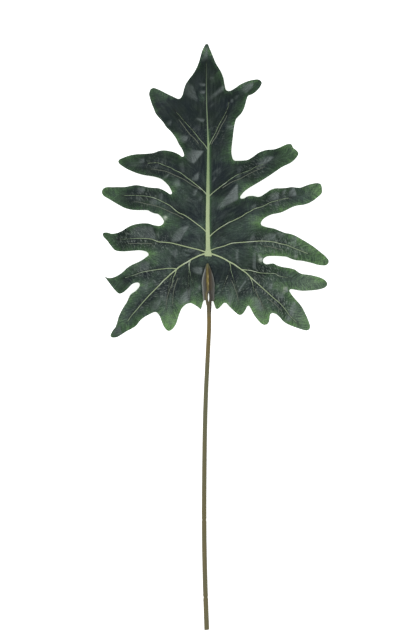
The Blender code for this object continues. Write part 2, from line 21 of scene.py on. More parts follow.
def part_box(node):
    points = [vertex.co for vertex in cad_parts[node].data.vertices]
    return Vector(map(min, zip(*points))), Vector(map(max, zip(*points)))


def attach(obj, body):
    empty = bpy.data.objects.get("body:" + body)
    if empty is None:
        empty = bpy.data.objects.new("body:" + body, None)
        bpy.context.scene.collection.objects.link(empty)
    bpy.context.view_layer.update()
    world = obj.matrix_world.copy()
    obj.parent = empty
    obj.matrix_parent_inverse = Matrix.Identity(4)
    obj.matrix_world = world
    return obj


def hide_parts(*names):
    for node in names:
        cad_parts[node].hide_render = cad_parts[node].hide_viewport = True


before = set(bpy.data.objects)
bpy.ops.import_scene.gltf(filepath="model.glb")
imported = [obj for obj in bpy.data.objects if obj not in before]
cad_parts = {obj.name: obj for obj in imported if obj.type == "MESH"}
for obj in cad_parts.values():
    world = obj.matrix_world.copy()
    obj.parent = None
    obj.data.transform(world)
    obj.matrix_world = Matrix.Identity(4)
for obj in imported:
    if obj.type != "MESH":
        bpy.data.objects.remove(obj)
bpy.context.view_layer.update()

bl_info = {
    "name": "Philodendron Leaf",
    "version": (1, 0, 0),
    "blender": (4, 5, 0),
    "location": "View3D > Sidebar > Leaf",
    "description": "Makes the fabric, veins, clip and stem of an artificial philodendron leaf",
    "category": "Add Mesh",
}

MM = 0.001
BODY = "root"

# The hub of the veins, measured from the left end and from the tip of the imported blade
HUB_FROM_LEFT = 128.15 * MM
HUB_FROM_TIP = 252.3 * MM
BLADE_LOW, BLADE_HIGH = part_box("leaf_blade")
HUB = Vector((BLADE_LOW.x + HUB_FROM_LEFT, BLADE_HIGH.y - HUB_FROM_TIP, 0.0))

# The middle of the photographed view, and its height
VIEW_MIDDLE = (1.8, -73.2)
VIEW_HEIGHT = 756.0
VIEW_LEVEL = 5.0              # height of the leaf's parts for which the view's size is exact
FILM = 36.0
FARTHEST = 100.0              # how far the camera sees, in metres

# The studio, in metres: each light's name, place, size and the setting that holds its power
LIGHTS = [
    ("key", (-1.25, 1.05, 1.5), (1.3, 0.9), "key_power"),
    ("fill", (1.5, -0.2, 1.5), (1.0, 1.6), "fill_power"),
    ("foot", (-0.2, -1.7, 1.5), (1.6, 0.8), "fill_power"),
]
FLOOR_SIZE = 60.0

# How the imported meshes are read
SAME_PLACE = 0.005 * MM       # corners of triangles that lie closer are one
SAME_POINT = 0.00001          # the same for points of the drawing
FACES_UP = 0.62               # the upper side's faces have normals that rise more than this
SHARP_TURN = math.radians(55)  # a sharper turn of the outline stays a corner
RIM_CLEARANCE = 0.7           # from the outline to the next points of the fabric, in spacings
RAY_FROM_ABOVE = 0.1          # in metres, as are the next two
RAY_FROM_BELOW = -0.05
RAY_LENGTH = 0.2

# The midrib: x, y and half its printed width
MIDRIB = [(-0.4, -2.8, 4.3), (-0.3, 0.5, 4.2), (-0.45, 4.5, 3.1), (-0.6, 9, 2.65), (-0.7, 18, 2.5),
          (-0.95, 30, 2.35), (-0.95, 47, 2.2), (-0.75, 60, 2.15), (-0.6, 81, 1.9), (-0.4, 103, 1.55),
          (-0.35, 117, 1.35), (-0.15, 130, 1.25), (-0.85, 146, 0.78), (-1.4, 160, 0.7),
          (-2.1, 175, 0.62), (-2.4, 190, 0.6), (-2.5, 212, 0.5), (-2.55, 230, 0.36)]

# The other printed veins: half their width at the root and at the end, and their middle lines
PRINTED_VEINS = {
    "left_1": (0.48, 0.26, [(-1, 125), (-5, 131), (-10, 136.5), (-15, 143), (-20, 149), (-25.5, 155),
                      (-31, 161), (-35, 166), (-39, 170.5)]),
    "right_1": (0.45, 0.29, [(0.8, 130), (4, 137), (8, 144), (11, 151), (14.5, 158), (18, 164), (21, 170),
                       (23.5, 176), (24.5, 182)]),
    "left_2": (0.48, 0.33, [(-1.5, 70), (-5, 74.5), (-10, 79), (-15, 83), (-20, 87), (-25, 90.5),
                      (-30, 94.5), (-35, 98), (-40, 100), (-45, 103), (-50, 105), (-55, 107),
                      (-60, 109), (-66, 109.2), (-73, 108.8)]),
    "right_2": (0.45, 0.31, [(1, 69.2), (5, 73), (15, 81), (20, 84.5), (25, 88.5), (30, 92), (35, 95),
                      (38, 96), (45, 98.5), (50, 100.3), (55, 103.5), (60, 105.5), (66, 107.5)]),
    "left_3": (0.52, 0.33, [(-2, 25.6), (-8, 31.5), (-12, 34.5), (-16, 37.5), (-20, 40.5), (-25, 44),
                      (-30, 47), (-35, 49), (-40, 52.5), (-45, 57), (-50, 60), (-55, 62.5), (-60, 65),
                      (-65, 67), (-70, 68.3), (-80, 69.7), (-92, 70.2), (-101, 70)]),
    "right_3": (0.48, 0.38, [(1.5, 21), (5, 24.5), (10, 28.5), (15, 32), (20, 35), (25, 38), (30, 40),
                       (40, 45), (45, 48.5), (50, 51), (55, 54), (60, 55.5), (65, 57), (70, 59.5),
                       (75, 62), (80, 63.3), (85, 65), (90, 66), (96, 67)]),
    "left_4": (0.68, 0.31, [(-2.5, 1.8), (-10, 4.5), (-20, 7), (-30, 9.5), (-40, 12), (-45, 13.2),
                      (-55, 14.2), (-60, 14.5), (-65, 16.5), (-70, 18), (-80, 18.7), (-90, 18.5),
                      (-98, 18), (-106, 17.5)]),
    "right_4": (0.5, 0.44, [(1.5, 4.2), (5, 5.3), (9.8, 7.1), (15.9, 8.6), (19.2, 9.6), (26.5, 12.4),
                       (31.8, 13.3), (45, 14.2), (55, 15), (65, 15.5), (75, 14.7), (80, 14),
                       (85, 12.5), (90, 11.5), (95, 10.3), (100, 8), (105, 6), (110, 4), (119, 0.5)]),
    "left_6": (0.86, 0.4, [(-2.5, 0.4), (-8, -0.8), (-12, -2.3), (-16, -4.3), (-20, -6.2), (-25, -9.5),
                     (-30, -12.3), (-35, -15.5), (-38.5, -18.5), (-46, -24.8), (-50, -28.5),
                     (-54, -32), (-58, -36.5), (-62, -40.5), (-66, -44.5), (-70, -48.5), (-75, -54),
                     (-80, -59.5), (-85, -65.5), (-88, -69), (-92, -73.5), (-97, -80.5)]),
    "right_6": (0.84, 0.37, [(1.5, 0.6), (8, -1.3), (15, -4), (20, -6.5), (25, -9.5), (30, -12),
                       (35, -15.5), (40, -19), (45, -22.5), (50, -27.5), (55, -32), (60, -36.5),
                       (65, -41), (70, -45.5), (75, -50), (80, -54.5), (85, -58.5), (90, -64),
                       (94, -69), (98, -74.5), (107, -83)]),
    "left_5": (0.47, 0.34, [(-38.5, -17.9), (-45, -17.2), (-55, -18), (-65, -19.2), (-75, -21), (-80, -22),
                     (-85, -23.8), (-90, -25.5), (-100, -28.5)]),
    "right_5": (0.47, 0.34, [(39, -18.6), (45, -19.2), (50, -19.7), (55, -21), (60, -22.3), (65, -23),
                       (75, -23.3), (80, -23.7), (85, -26.5), (95, -28.5)]),
    "left_9": (0.4, 0.36, [(-21.5, -7.2), (-22.8, -12), (-23, -17), (-22.3, -21.5)]),
    "left_9_end": (0.32, 0.27, [(-22.3, -21.5), (-21, -28), (-19, -35)]),
    "left_8": (0.3, 0.26, [(-23.9, -10), (-24, -24), (-23.8, -38), (-23.4, -52)]),
    "left_7": (0.46, 0.3, [(-38.5, -18.5), (-40, -24), (-42, -28), (-43, -33), (-44, -41)]),
    "left_7_twig": (0.3, 0.26, [(-44.5, -26), (-47.5, -38), (-49, -48)]),
    "right_9": (0.4, 0.34, [(25.2, -9.6), (26.5, -15), (27, -20), (28.5, -25)]),
    "right_9_end": (0.33, 0.27, [(28.5, -25), (30, -30), (31.5, -35), (33, -40), (35.5, -46)]),
    "right_9_twig": (0.27, 0.26, [(26.2, -17), (23.5, -25), (20, -34), (16, -45)]),
    "right_7": (0.46, 0.3, [(50, -27.8), (52.5, -34), (53.5, -39), (54.5, -46)]),
    "right_7_twig": (0.3, 0.27, [(57, -48), (60, -52), (64, -58), (68.5, -65)]),
}

# Lines pressed into the fabric beside the printed veins
PRESSED_LINES = {
    "left_1": [(-10, 129.5), (-16.5, 138), (-22, 143), (-30, 153.5), (-34, 159), (-40, 167)],
    "right_1": [(2.5, 129), (5.5, 135), (9, 140), (12, 146), (16, 154.5), (20, 161), (24.5, 172)],
    "left_2": [(-6, 73.8), (-10, 77.5), (-20, 83), (-30, 89.5), (-40, 94), (-50, 98.5),
               (-60, 100.5), (-70, 102), (-81, 102.8)],
    "right_2": [(14, 77), (22, 82.5), (30, 87), (38, 90), (45, 94), (56, 99.5), (66, 103.5),
                (77, 107.5)],
    "left_3": [(-26, 40.5), (-38, 47), (-45, 50), (-55, 54.5), (-65, 58), (-75, 60), (-85, 62.3),
               (-98, 63)],
    "left_4": [(-66, 12.2), (-75, 12.5), (-88, 12.6), (-101, 12.4)],
    "right_4": [(64, 9.5), (72, 9), (82, 6.5), (92, 3.5)],
    "left_7": [(-40, -29), (-44.5, -38), (-48, -47), (-50.5, -58), (-50.5, -70)],
    "left_7_side": [(-36, -27), (-40, -38), (-42.5, -50), (-43, -66)],
    "right_8": [(27, -30), (32, -42), (35, -52), (36.5, -62)],
    "right_7": [(55, -40), (60, -52), (65, -63), (67.5, -74)],
    "right_6": [(70, -53), (77, -58), (84, -64.5), (91, -72)],
}

# Creased facets of the fabric that catch the light, tilted in the relief and with their sheen also
# painted into the print's colour: strength, softness of their edges, and their corners, the crest's two ends
# first
FACETS = [
    (0.6, 3.6, [(-0.7, 250), (-1.4, 234), (-10, 230), (-5.5, 246)]),
    (1.0, 1.6, [(-3.3, 203.5), (-5, 200.8), (-11.5, 202.5), (-11, 205.2)]),
    (0.95, 1.6, [(-4, 195.5), (-5, 192.2), (-10.5, 191.8), (-11, 195.6)]),
    (0.26, 1.8, [(6, 212.5), (5, 209), (0.5, 208.8), (-0.2, 212)]),
    (0.32, 2.6, [(-19, 202), (-12, 183), (-18, 184), (-32, 193), (-27, 206)]),
    (0.68, 2.3, [(18, 205), (18.5, 196), (7, 187), (1, 183), (0, 189), (9, 196)]),
    (0.8, 1.5, [(54, 206), (53, 200), (45, 192.5), (39, 196), (40.5, 203.5)]),
    (0.55, 1.0, [(29.5, 185.5), (29, 181), (25.5, 181.5), (26.5, 186)]),
    (0.28, 1.6, [(36, 190.5), (34, 185), (30, 186), (31.5, 190)]),
    (0.8, 1.4, [(-4.5, 161), (-6, 158), (-12, 159.3), (-16, 161.5), (-14, 163.5)]),
    (0.2, 2.0, [(-9, 155), (-10, 148), (-21, 147), (-20, 153)]),
    (0.25, 1.8, [(6, 152), (5, 148), (-0.5, 148), (0, 151.5)]),
    (0.6, 2.0, [(30, 154), (29, 149.5), (20, 150), (20, 155)]),
    (0.8, 2.2, [(-24, 141), (-26, 135), (-31, 133), (-36, 139.5), (-32, 142.5)]),
    (0.45, 2.4, [(-44, 160), (-45, 154), (-50, 154), (-51, 159)]),
    (1.0, 1.2, [(-5.3, 123.4), (-10, 117), (-17.3, 108), (-20.5, 110), (-21.5, 125.5), (-14, 124.5)]),
    (0.35, 2.5, [(-20, 124), (-20, 109), (-27, 113), (-29, 121)]),
    (0.8, 1.3, [(-12, 98), (-11.5, 91), (-14.5, 87), (-21, 89), (-16.5, 95)]),
    (0.52, 1.5, [(-13, 78.5), (-15, 70), (-19.5, 69), (-18.5, 77.5)]),
    (0.4, 1.5, [(-7.5, 69.5), (-8.5, 63.5), (-13.5, 63), (-11, 68.5)]),
    (0.28, 1.5, [(-30.5, 111), (-28.5, 98), (-32.5, 97), (-36.5, 108)]),
    (0.6, 1.6, [(-34.5, 88.5), (-34, 82), (-39, 79.8), (-44, 82), (-41, 87.5)]),
    (0.55, 1.0, [(9.5, 92), (6.3, 87), (3.8, 85.5), (4.2, 87.5), (7.3, 92.5)]),
    (0.2, 1.8, [(16, 101), (14, 96), (9, 95), (9.5, 99.5)]),
    (1.08, 1.5, [(34.8, 85), (35.3, 65), (22, 58), (9, 51.8), (10, 57), (22, 71), (30, 80)]),
    (0.3, 1.8, [(39, 105), (39, 97), (34, 97), (33, 104)]),
    (0.1, 2.0, [(-51, 117), (-50, 108), (-56, 107.5), (-58.5, 114)]),
    (0.65, 2.5, [(-77, 115), (-77, 109), (-84, 108.5), (-84, 113.5)]),
    (0.75, 1.4, [(-47.5, 96), (-48.5, 92.5), (-55, 88.6), (-56, 91)]),
    (0.6, 2.0, [(-75.5, 80.5), (-77, 74), (-84, 72.5), (-87, 78.5), (-82, 81)]),
    (0.4, 2.2, [(-62.5, 67.5), (-62, 58), (-68, 55.5), (-73, 60), (-70, 67)]),
    (0.55, 1.6, [(-55.5, 73), (-55, 65), (-59, 65.5), (-60.5, 72)]),
    (1.05, 1.5, [(78.5, 116), (74, 112), (66, 105.5), (57.5, 104), (60, 109.5), (66, 116), (72, 117.5)]),
    (0.66, 1.6, [(84.5, 73.5), (84, 65.5), (76, 63), (71, 66), (75, 73.5)]),
    (0.6, 1.0, [(93.5, 77), (90, 70), (87.5, 71), (88.5, 77)]),
    (0.85, 1.4, [(103, 80), (105.5, 69.5), (96, 68.5), (95.5, 74), (100, 80)]),
    (0.35, 2.0, [(57, 60), (57, 54), (50, 53), (51, 59)]),
    (0.35, 1.6, [(84, 63), (83, 58), (78, 58.5), (79, 62.5)]),
    (0.65, 1.6, [(80, 26.5), (92, 24), (88, 19), (83, 20)]),
    (0.3, 1.6, [(-87, 70), (-80, 68), (-80, 63), (-86, 62)]),
    (0.46, 1.8, [(-67.5, 33), (-62, 17), (-76, 17.5), (-96, 19), (-94, 29), (-86, 34)]),
    (0.95, 1.6, [(-22.5, 34), (-30, 22), (-34, 15.5), (-45, 14.5), (-44, 21), (-38, 29.5), (-28, 34)]),
    (0.9, 1.2, [(-50.3, 45.5), (-51.2, 40.5), (-54.5, 42.5), (-56, 46)]),
    (0.55, 1.3, [(-37, 5), (-40.5, -3.5), (-46, 4.5)]),
    (0.4, 1.2, [(-15, 7), (-17, 2), (-25, 3), (-24, 7.5)]),
    (0.45, 1.2, [(-9, 2), (-12, -1.5), (-18, -1.5), (-17, 2)]),
    (0.66, 1.8, [(81, 24.5), (79.5, 16), (66, 16.2), (64, 20), (71, 25)]),
    (0.7, 1.6, [(106, 21.5), (105, 10.5), (98.5, 12), (97.5, 22)]),
    (0.35, 2.0, [(56, 22.5), (54, 13), (50, 13), (51, 22)]),
    (1.0, 0.9, [(64.3, -3), (64.8, -9), (61.5, -9), (59.5, -1), (61.5, -2)]),
    (0.62, 1.2, [(106, 4), (104.5, -5.5), (101.5, -5), (101.5, 2)]),
    (0.55, 1.0, [(35.8, 6), (35.4, -6.5), (32.5, -6), (32.8, 5)]),
    (0.42, 2.6, [(-70, -10), (-72, -19.5), (-95, -21), (-94, -12), (-84, -8)]),
    (0.85, 1.5, [(-7.3, -16), (-8, -24), (-13, -24.6), (-20.5, -20), (-20, -16.5), (-13, -15)]),
    (1.0, 2.2, [(-21.5, -41), (-23, -58), (-33, -62), (-38, -57), (-30, -46)]),
    (0.5, 2.5, [(-56, -52), (-60, -66), (-70, -70), (-71, -62)]),
    (0.38, 2.0, [(-50.5, -47), (-48, -58), (-55, -61), (-58, -54)]),
    (0.5, 2.2, [(-72, -32), (-74, -44), (-82, -44), (-81, -34)]),
    (0.45, 2.4, [(-106, -86), (-104, -97), (-117, -100), (-118, -91)]),
    (0.85, 1.2, [(-9.8, -37), (-10, -44), (-12.8, -44), (-13, -38)]),
    (1.15, 1.0, [(46, -32), (43.5, -35.5), (35.2, -48.5), (34, -46.5), (40, -36), (44, -31.5)]),
    (0.75, 2.0, [(27.7, -52), (26.5, -63.5), (21.5, -61.5), (22, -51), (25, -44)]),
    (0.75, 2.2, [(63, -53), (64, -68), (52, -66), (50, -52)]),
    (0.95, 1.6, [(77, -35), (76, -42), (70.5, -41.5), (71, -36)]),
    (1.15, 1.2, [(95, -39.5), (95, -46), (90, -46), (89.5, -40.5)]),
    (0.6, 1.6, [(91, -46), (89, -54), (79.5, -53), (80, -47)]),
    (1.05, 1.4, [(105.5, -57.5), (102, -67), (96, -81.5), (92.5, -78.5), (96.5, -66), (101, -57)]),
    (0.65, 1.0, [(56.8, 3), (56.4, -18), (52.8, -18.5), (52.6, 2)]),
]

# How light the print is at each height on the drawing, with painted light that makes it lighter
# towards the base of the blade, and places that are lighter or darker, partly print and partly
# painted light and shade: x, y, radius and difference
PRINT_AND_SHADING_LEVELS = [(-95, 0.34), (-40, 0.22), (0, 0.17), (60, 0.07), (100, 0.0), (130, -0.12), (250, -0.1)]
PRINT_AND_SHADING_SPOTS = [
    (0, 240, 9, 0.25), (48, 201, 14, 0.4), (38, 178, 10, 0.24), (29, 158, 12, 0.36), (28, 130, 12, 0.5),
    (24, 113, 10, 0.26), (10, 158, 9, -0.12), (-12, 172, 14, -0.08), (-33, 165, 11, -0.33),
    (-42, 189, 7, 0.2), (-62, 194, 13, 0.28), (-62, 172, 12, 0.14), (-44, 142, 11, 0.2), (-30, 140, 7, 0.12),
    (-27, 118, 10, 0.2), (-2, 170, 9, -0.12), (6, 137, 9, -0.2), (116, 128, 14, 0.9), (97, 120, 12, 0.4),
    (90, 131, 9, 0.4), (100, 134, 8, 0.3), (80, 112, 10, 0.25), (64, 110, 10, 0.38), (54, 117, 7, -0.16),
    (53, 92, 7, -0.14), (43, 77, 11, 0.54), (65, 92, 10, 0.22), (131, 74, 15, 0.76), (112, 76, 12, 0.06),
    (97, 76, 10, 0.08), (97, 82, 10, -0.28), (88, 59, 13, 0.36), (60, 68, 8, -0.13), (108, 60, 12, 0.28),
    (57, 40, 13, 0.62), (34, 66, 8, 0.1), (15, 60, 8, 0.2), (41, 54, 7, -0.14), (40, 30, 11, 0.14),
    (-122, 76, 13, 0.27), (-104, 82, 12, 0.12), (-110, 70, 8, 0.16), (-110, 112, 13, 0.12),
    (-86, 103, 10, 0.16), (-86, 94, 8, -0.18), (-66, 114, 8, -0.4), (-68, 92, 9, -0.14), (-8, 92, 7, 0.14),
    (-40, 80, 10, 0.42), (-16, 31, 9, 0.28), (-17, 9, 8, 0.16), (15, 79, 9, -0.32), (13, 30, 9, -0.14),
    (-52, 38, 11, 0.54), (-56, 60, 9, 0.3), (-70, 28, 9, -0.18), (-104, 26, 10, -0.27), (-115, 19, 8, 0.2),
    (-104, 8, 9, -0.16), (-67, 8, 7, -0.26), (-64, -1, 11, 0.5), (-112, 0, 9, 0.12), (61, 27, 9, -0.32),
    (76, 11, 9, 0.3), (62, 4, 9, 0.35), (64, -6, 9, 0.3), (82, -2, 12, 0.35), (106, 10, 14, 0.48),
    (118, -2, 14, 0.24), (126, 8, 9, 0.18), (138, -5, 12, 0.52), (112, -34, 20, 0.43), (129, -34, 14, 0.54),
    (98, -40, 8, -0.14), (84, -38, 10, 0.45), (98, -48, 10, 0.25), (56, -15, 11, -0.3), (72, -16, 13, -0.24),
    (12, -22, 14, -0.34), (-14, -24, 12, -0.3), (30, -22, 11, -0.16), (-26, -24, 9, -0.14),
    (64, -24, 9, -0.12), (-0.5, -4.4, 2.6, 0.5), (18, -3, 10, 0.1), (-38, -38, 11, -0.18),
    (-95, -34, 7, -0.24), (-105, -42, 8, -0.28), (-76, -42, 10, 0.36), (-71, -58, 12, -0.27),
    (-100, -66, 10, 0.18), (-104, -79, 9, 0.14), (-114, -34, 8, 0.15), (-34, -60, 10, 0.3),
    (-18, -60, 11, 0.45), (-4, -58, 8, 0.2), (14, -60, 10, 0.4), (21, -47, 10, 0.16), (35, -64, 13, 0.34),
    (-46, -81, 13, 0.7), (-56, -68, 9, 0.3), (64, -80, 13, 0.75), (55, -55, 11, 0.5), (-8, 187, 6, 0.36),
    (40, 200, 5, 0.15), (-45, 188, 5, 0.12), (-7, 128, 5, 0.26), (-103, 104, 5, -0.14), (-7, 141, 6, 0.18),
    (5, 44, 5, 0.15), (-43, 104, 5, 0.12), (56, 36, 8, 0.18), (123, 2, 7, 0.18), (106, -4, 5, -0.2),
    (108, -83, 5, 0.17), (117, -88, 4, -0.2), (68, -62, 5, 0.18), (54, -63, 4, 0.16), (36, 69, 4, 0.18),
    (42, 65, 4, -0.2), (2, 67, 3, 0.26), (37, 45, 5, -0.16), (86, 53, 4, 0.2), (95, 62, 5, -0.14),
    (86, 25, 5, 0.16), (101, 13, 6, 0.14), (13, 23, 7, -0.1), (39, 2, 5, 0.14), (28, -8, 4, 0.16),
    (49, -24, 4, 0.14), (60, -19, 6, -0.14), (-109, -40, 6, 0.2), (-94, -24, 5, 0.2), (-90, -52, 5, 0.2),
    (-99, -88, 5, 0.17), (-88, -83, 4, -0.2), (-60, -43, 5, -0.18), (-75, -68, 5, 0.15),
    (-56, -76, 5, -0.16), (-12, -42, 4, 0.16), (-30, -39, 4, -0.14), (-30, -16, 4, 0.2), (-19, -8, 3, 0.2),
    (-19, -20, 4, 0.16), (-45, -5, 4, -0.15), (-103, 6, 5, -0.18), (-91, 23, 4, 0.2), (-51, 25, 5, -0.15),
    (-36, 32, 5, 0.16), (-34, 50, 5, -0.17), (-5, 26, 4, 0.3), (-4, 9, 3, 0.26), (-21, 9, 5, 0.17),
    (-70, 54, 4, 0.2), (-94, 71, 4, -0.16), (-49, 70, 5, -0.15), (-20, 87, 5, 0.18), (-4, 246, 5, 0.34),
    (-52, 187, 7, 0.18), (-35, 136, 5, 0.32), (-44, 147, 4, -0.2), (-50, 123, 6, 0.22), (50, 195, 6, -0.32),
    (54, 207, 6, 0.17), (26, 148, 5, 0.27), (12, 114, 7, 0.17), (35, 95, 5, 0.2), (46, 89, 6, -0.18),
    (70, 123, 8, 0.22), (84, 115, 5, -0.14), (-5, 86, 6, 0.15), (-58, 63, 5, 0.32), (-26, 40, 5, 0.2),
    (-27, 26, 5, 0.26), (-49, 35, 7, -0.13), (-101, 26, 5, -0.32), (-46, -19, 4, 0.4), (-72, -27, 5, -0.16),
    (-66, -40, 5, 0.14), (-106, -74, 4, -0.25), (-98, -81, 6, 0.28), (-111, -93, 7, -0.28),
    (-64, -67, 5, -0.18), (-14, -39, 5, 0.24), (-5, -47, 5, -0.14), (18, 85, 6, -0.28), (22, 49, 7, -0.14),
    (48, 54, 5, 0.2), (125, 84, 5, 0.28), (118, 71, 7, 0.14), (127, -9, 6, -0.2), (7, 4, 5, 0.28),
    (17, 7, 7, 0.14), (16, -9, 7, 0.17), (42, -11, 5, -0.14), (66, -15, 6, -0.14), (73, -25, 7, 0.34),
    (70, -39, 4, 0.26), (94, -27, 5, 0.16), (105, -24, 4, -0.18), (53, -48, 4, 0.16), (66, -47, 5, -0.15),
    (43, -46, 7, -0.3), (14, -42, 7, 0.2), (9, -59, 4, -0.2), (89, -57, 6, -0.22), (99, -79, 5, 0.24),
    (12, 215, 5, 0.15), (-24, 125, 5, 0.16), (-9, 134, 5, 0.16), (6, 223, 9, -0.06), (41, 187, 7, -0.1),
    (-41, 176, 9, -0.2), (6, 178, 8, -0.07), (53, 106, 7, -0.12), (-67, 30, 7, -0.08), (53, 17, 7, -0.1),
    (-91, -15, 7, -0.12), (-56, -41, 7, -0.14), (-79, -65, 7, -0.1), (-94, 112, 10, 0.2), (66, 117, 6, 0.15),
    (-7, 35, 6, 0.34), (-8, 9, 5, 0.12), (7, 8, 5, 0.16), (7, -6, 6, 0.16), (-7, -6, 6, 0.12),
    (-68, -49, 6, -0.08), (-55, -51, 6, -0.08), (76, -65, 8, 0.3), (104, -68, 13, 0.44), (116, -84, 13, 0.5),
    (89, -72, 9, -0.1), (-7, 188, 7, 0.09), (-7, 139, 7, 0.1), (-43, 104, 8, 0.1), (-7, 31, 7, 0.1),
    (29, 32, 8, 0.1), (77, -28, 8, 0.11), (89, -76, 7, -0.08), (-110, -96, 7, -0.1), (-115, 80, 7, -0.07),
    (-3, 240, 9, 0.13), (-48, 158, 7, 0.06),
]

# Places with a greener cast, or with a greyer one where below 0: x, y, radius and strength
CASTS = [
    (85, 126, 15, 0.5), (-91, 112, 12, 0.35), (-91, 61, 12, 0.3), (27, 61, 12, 0.55), (-107, 28, 12, 0.55),
    (77, -6, 12, 0.3), (111, -8, 12, 0.35), (86, -40, 15, 0.35), (-91, -90, 12, 0.4), (44, 196, 11, -0.35),
    (-57, 196, 11, -0.5), (-40, -6, 14, -0.35), (-91, -40, 12, -0.35), (111, -40, 14, -0.45),
    (-107, -73, 13, -0.7), (61, -73, 10, -0.3), (-30, 62, 22, -0.4), (10, 229, 12, -0.3), (-5, 245, 8, -0.4),
    (96, 110, 9, -0.35), (44, 78, 12, -0.35), (111, 61, 12, -0.35), (-107, -23, 11, -0.3),
    (118, -28, 11, -0.4), (130, -40, 12, -0.5), (-92, -38, 10, -0.3), (-74, -73, 12, -0.3),
    (-40, -76, 12, -0.3), (112, -73, 12, -0.45), (113, -91, 12, -0.35),
]

# Places where the cloth is finely crinkled beside the veins: x, y, radius and strength
CRINKLED = [
    (-88, 16, 22, 1.0), (-62, 12, 16, 0.8), (-34, 2, 14, 0.35), (-78, -22, 16, 0.7), (-45, -34, 14, 0.6),
    (-60, -44, 14, 0.45), (-48, -58, 12, 0.5), (-80, -62, 14, 0.5), (-76, 62, 18, 0.7), (-62, 102, 16, 0.5),
    (-22, 140, 16, 0.4), (12, 142, 12, 0.4), (56, 102, 16, 0.7), (82, 66, 18, 0.9), (62, 12, 14, 0.7),
    (88, 8, 18, 1.0), (110, 2, 12, 0.7), (72, -24, 20, 0.75), (54, -40, 14, 0.6), (84, -56, 18, 1.0),
    (96, -70, 12, 0.8), (32, -40, 12, 0.5), (16, -44, 12, 0.5), (4, 8, 10, 0.3), (-18, -44, 12, 0.5),
]
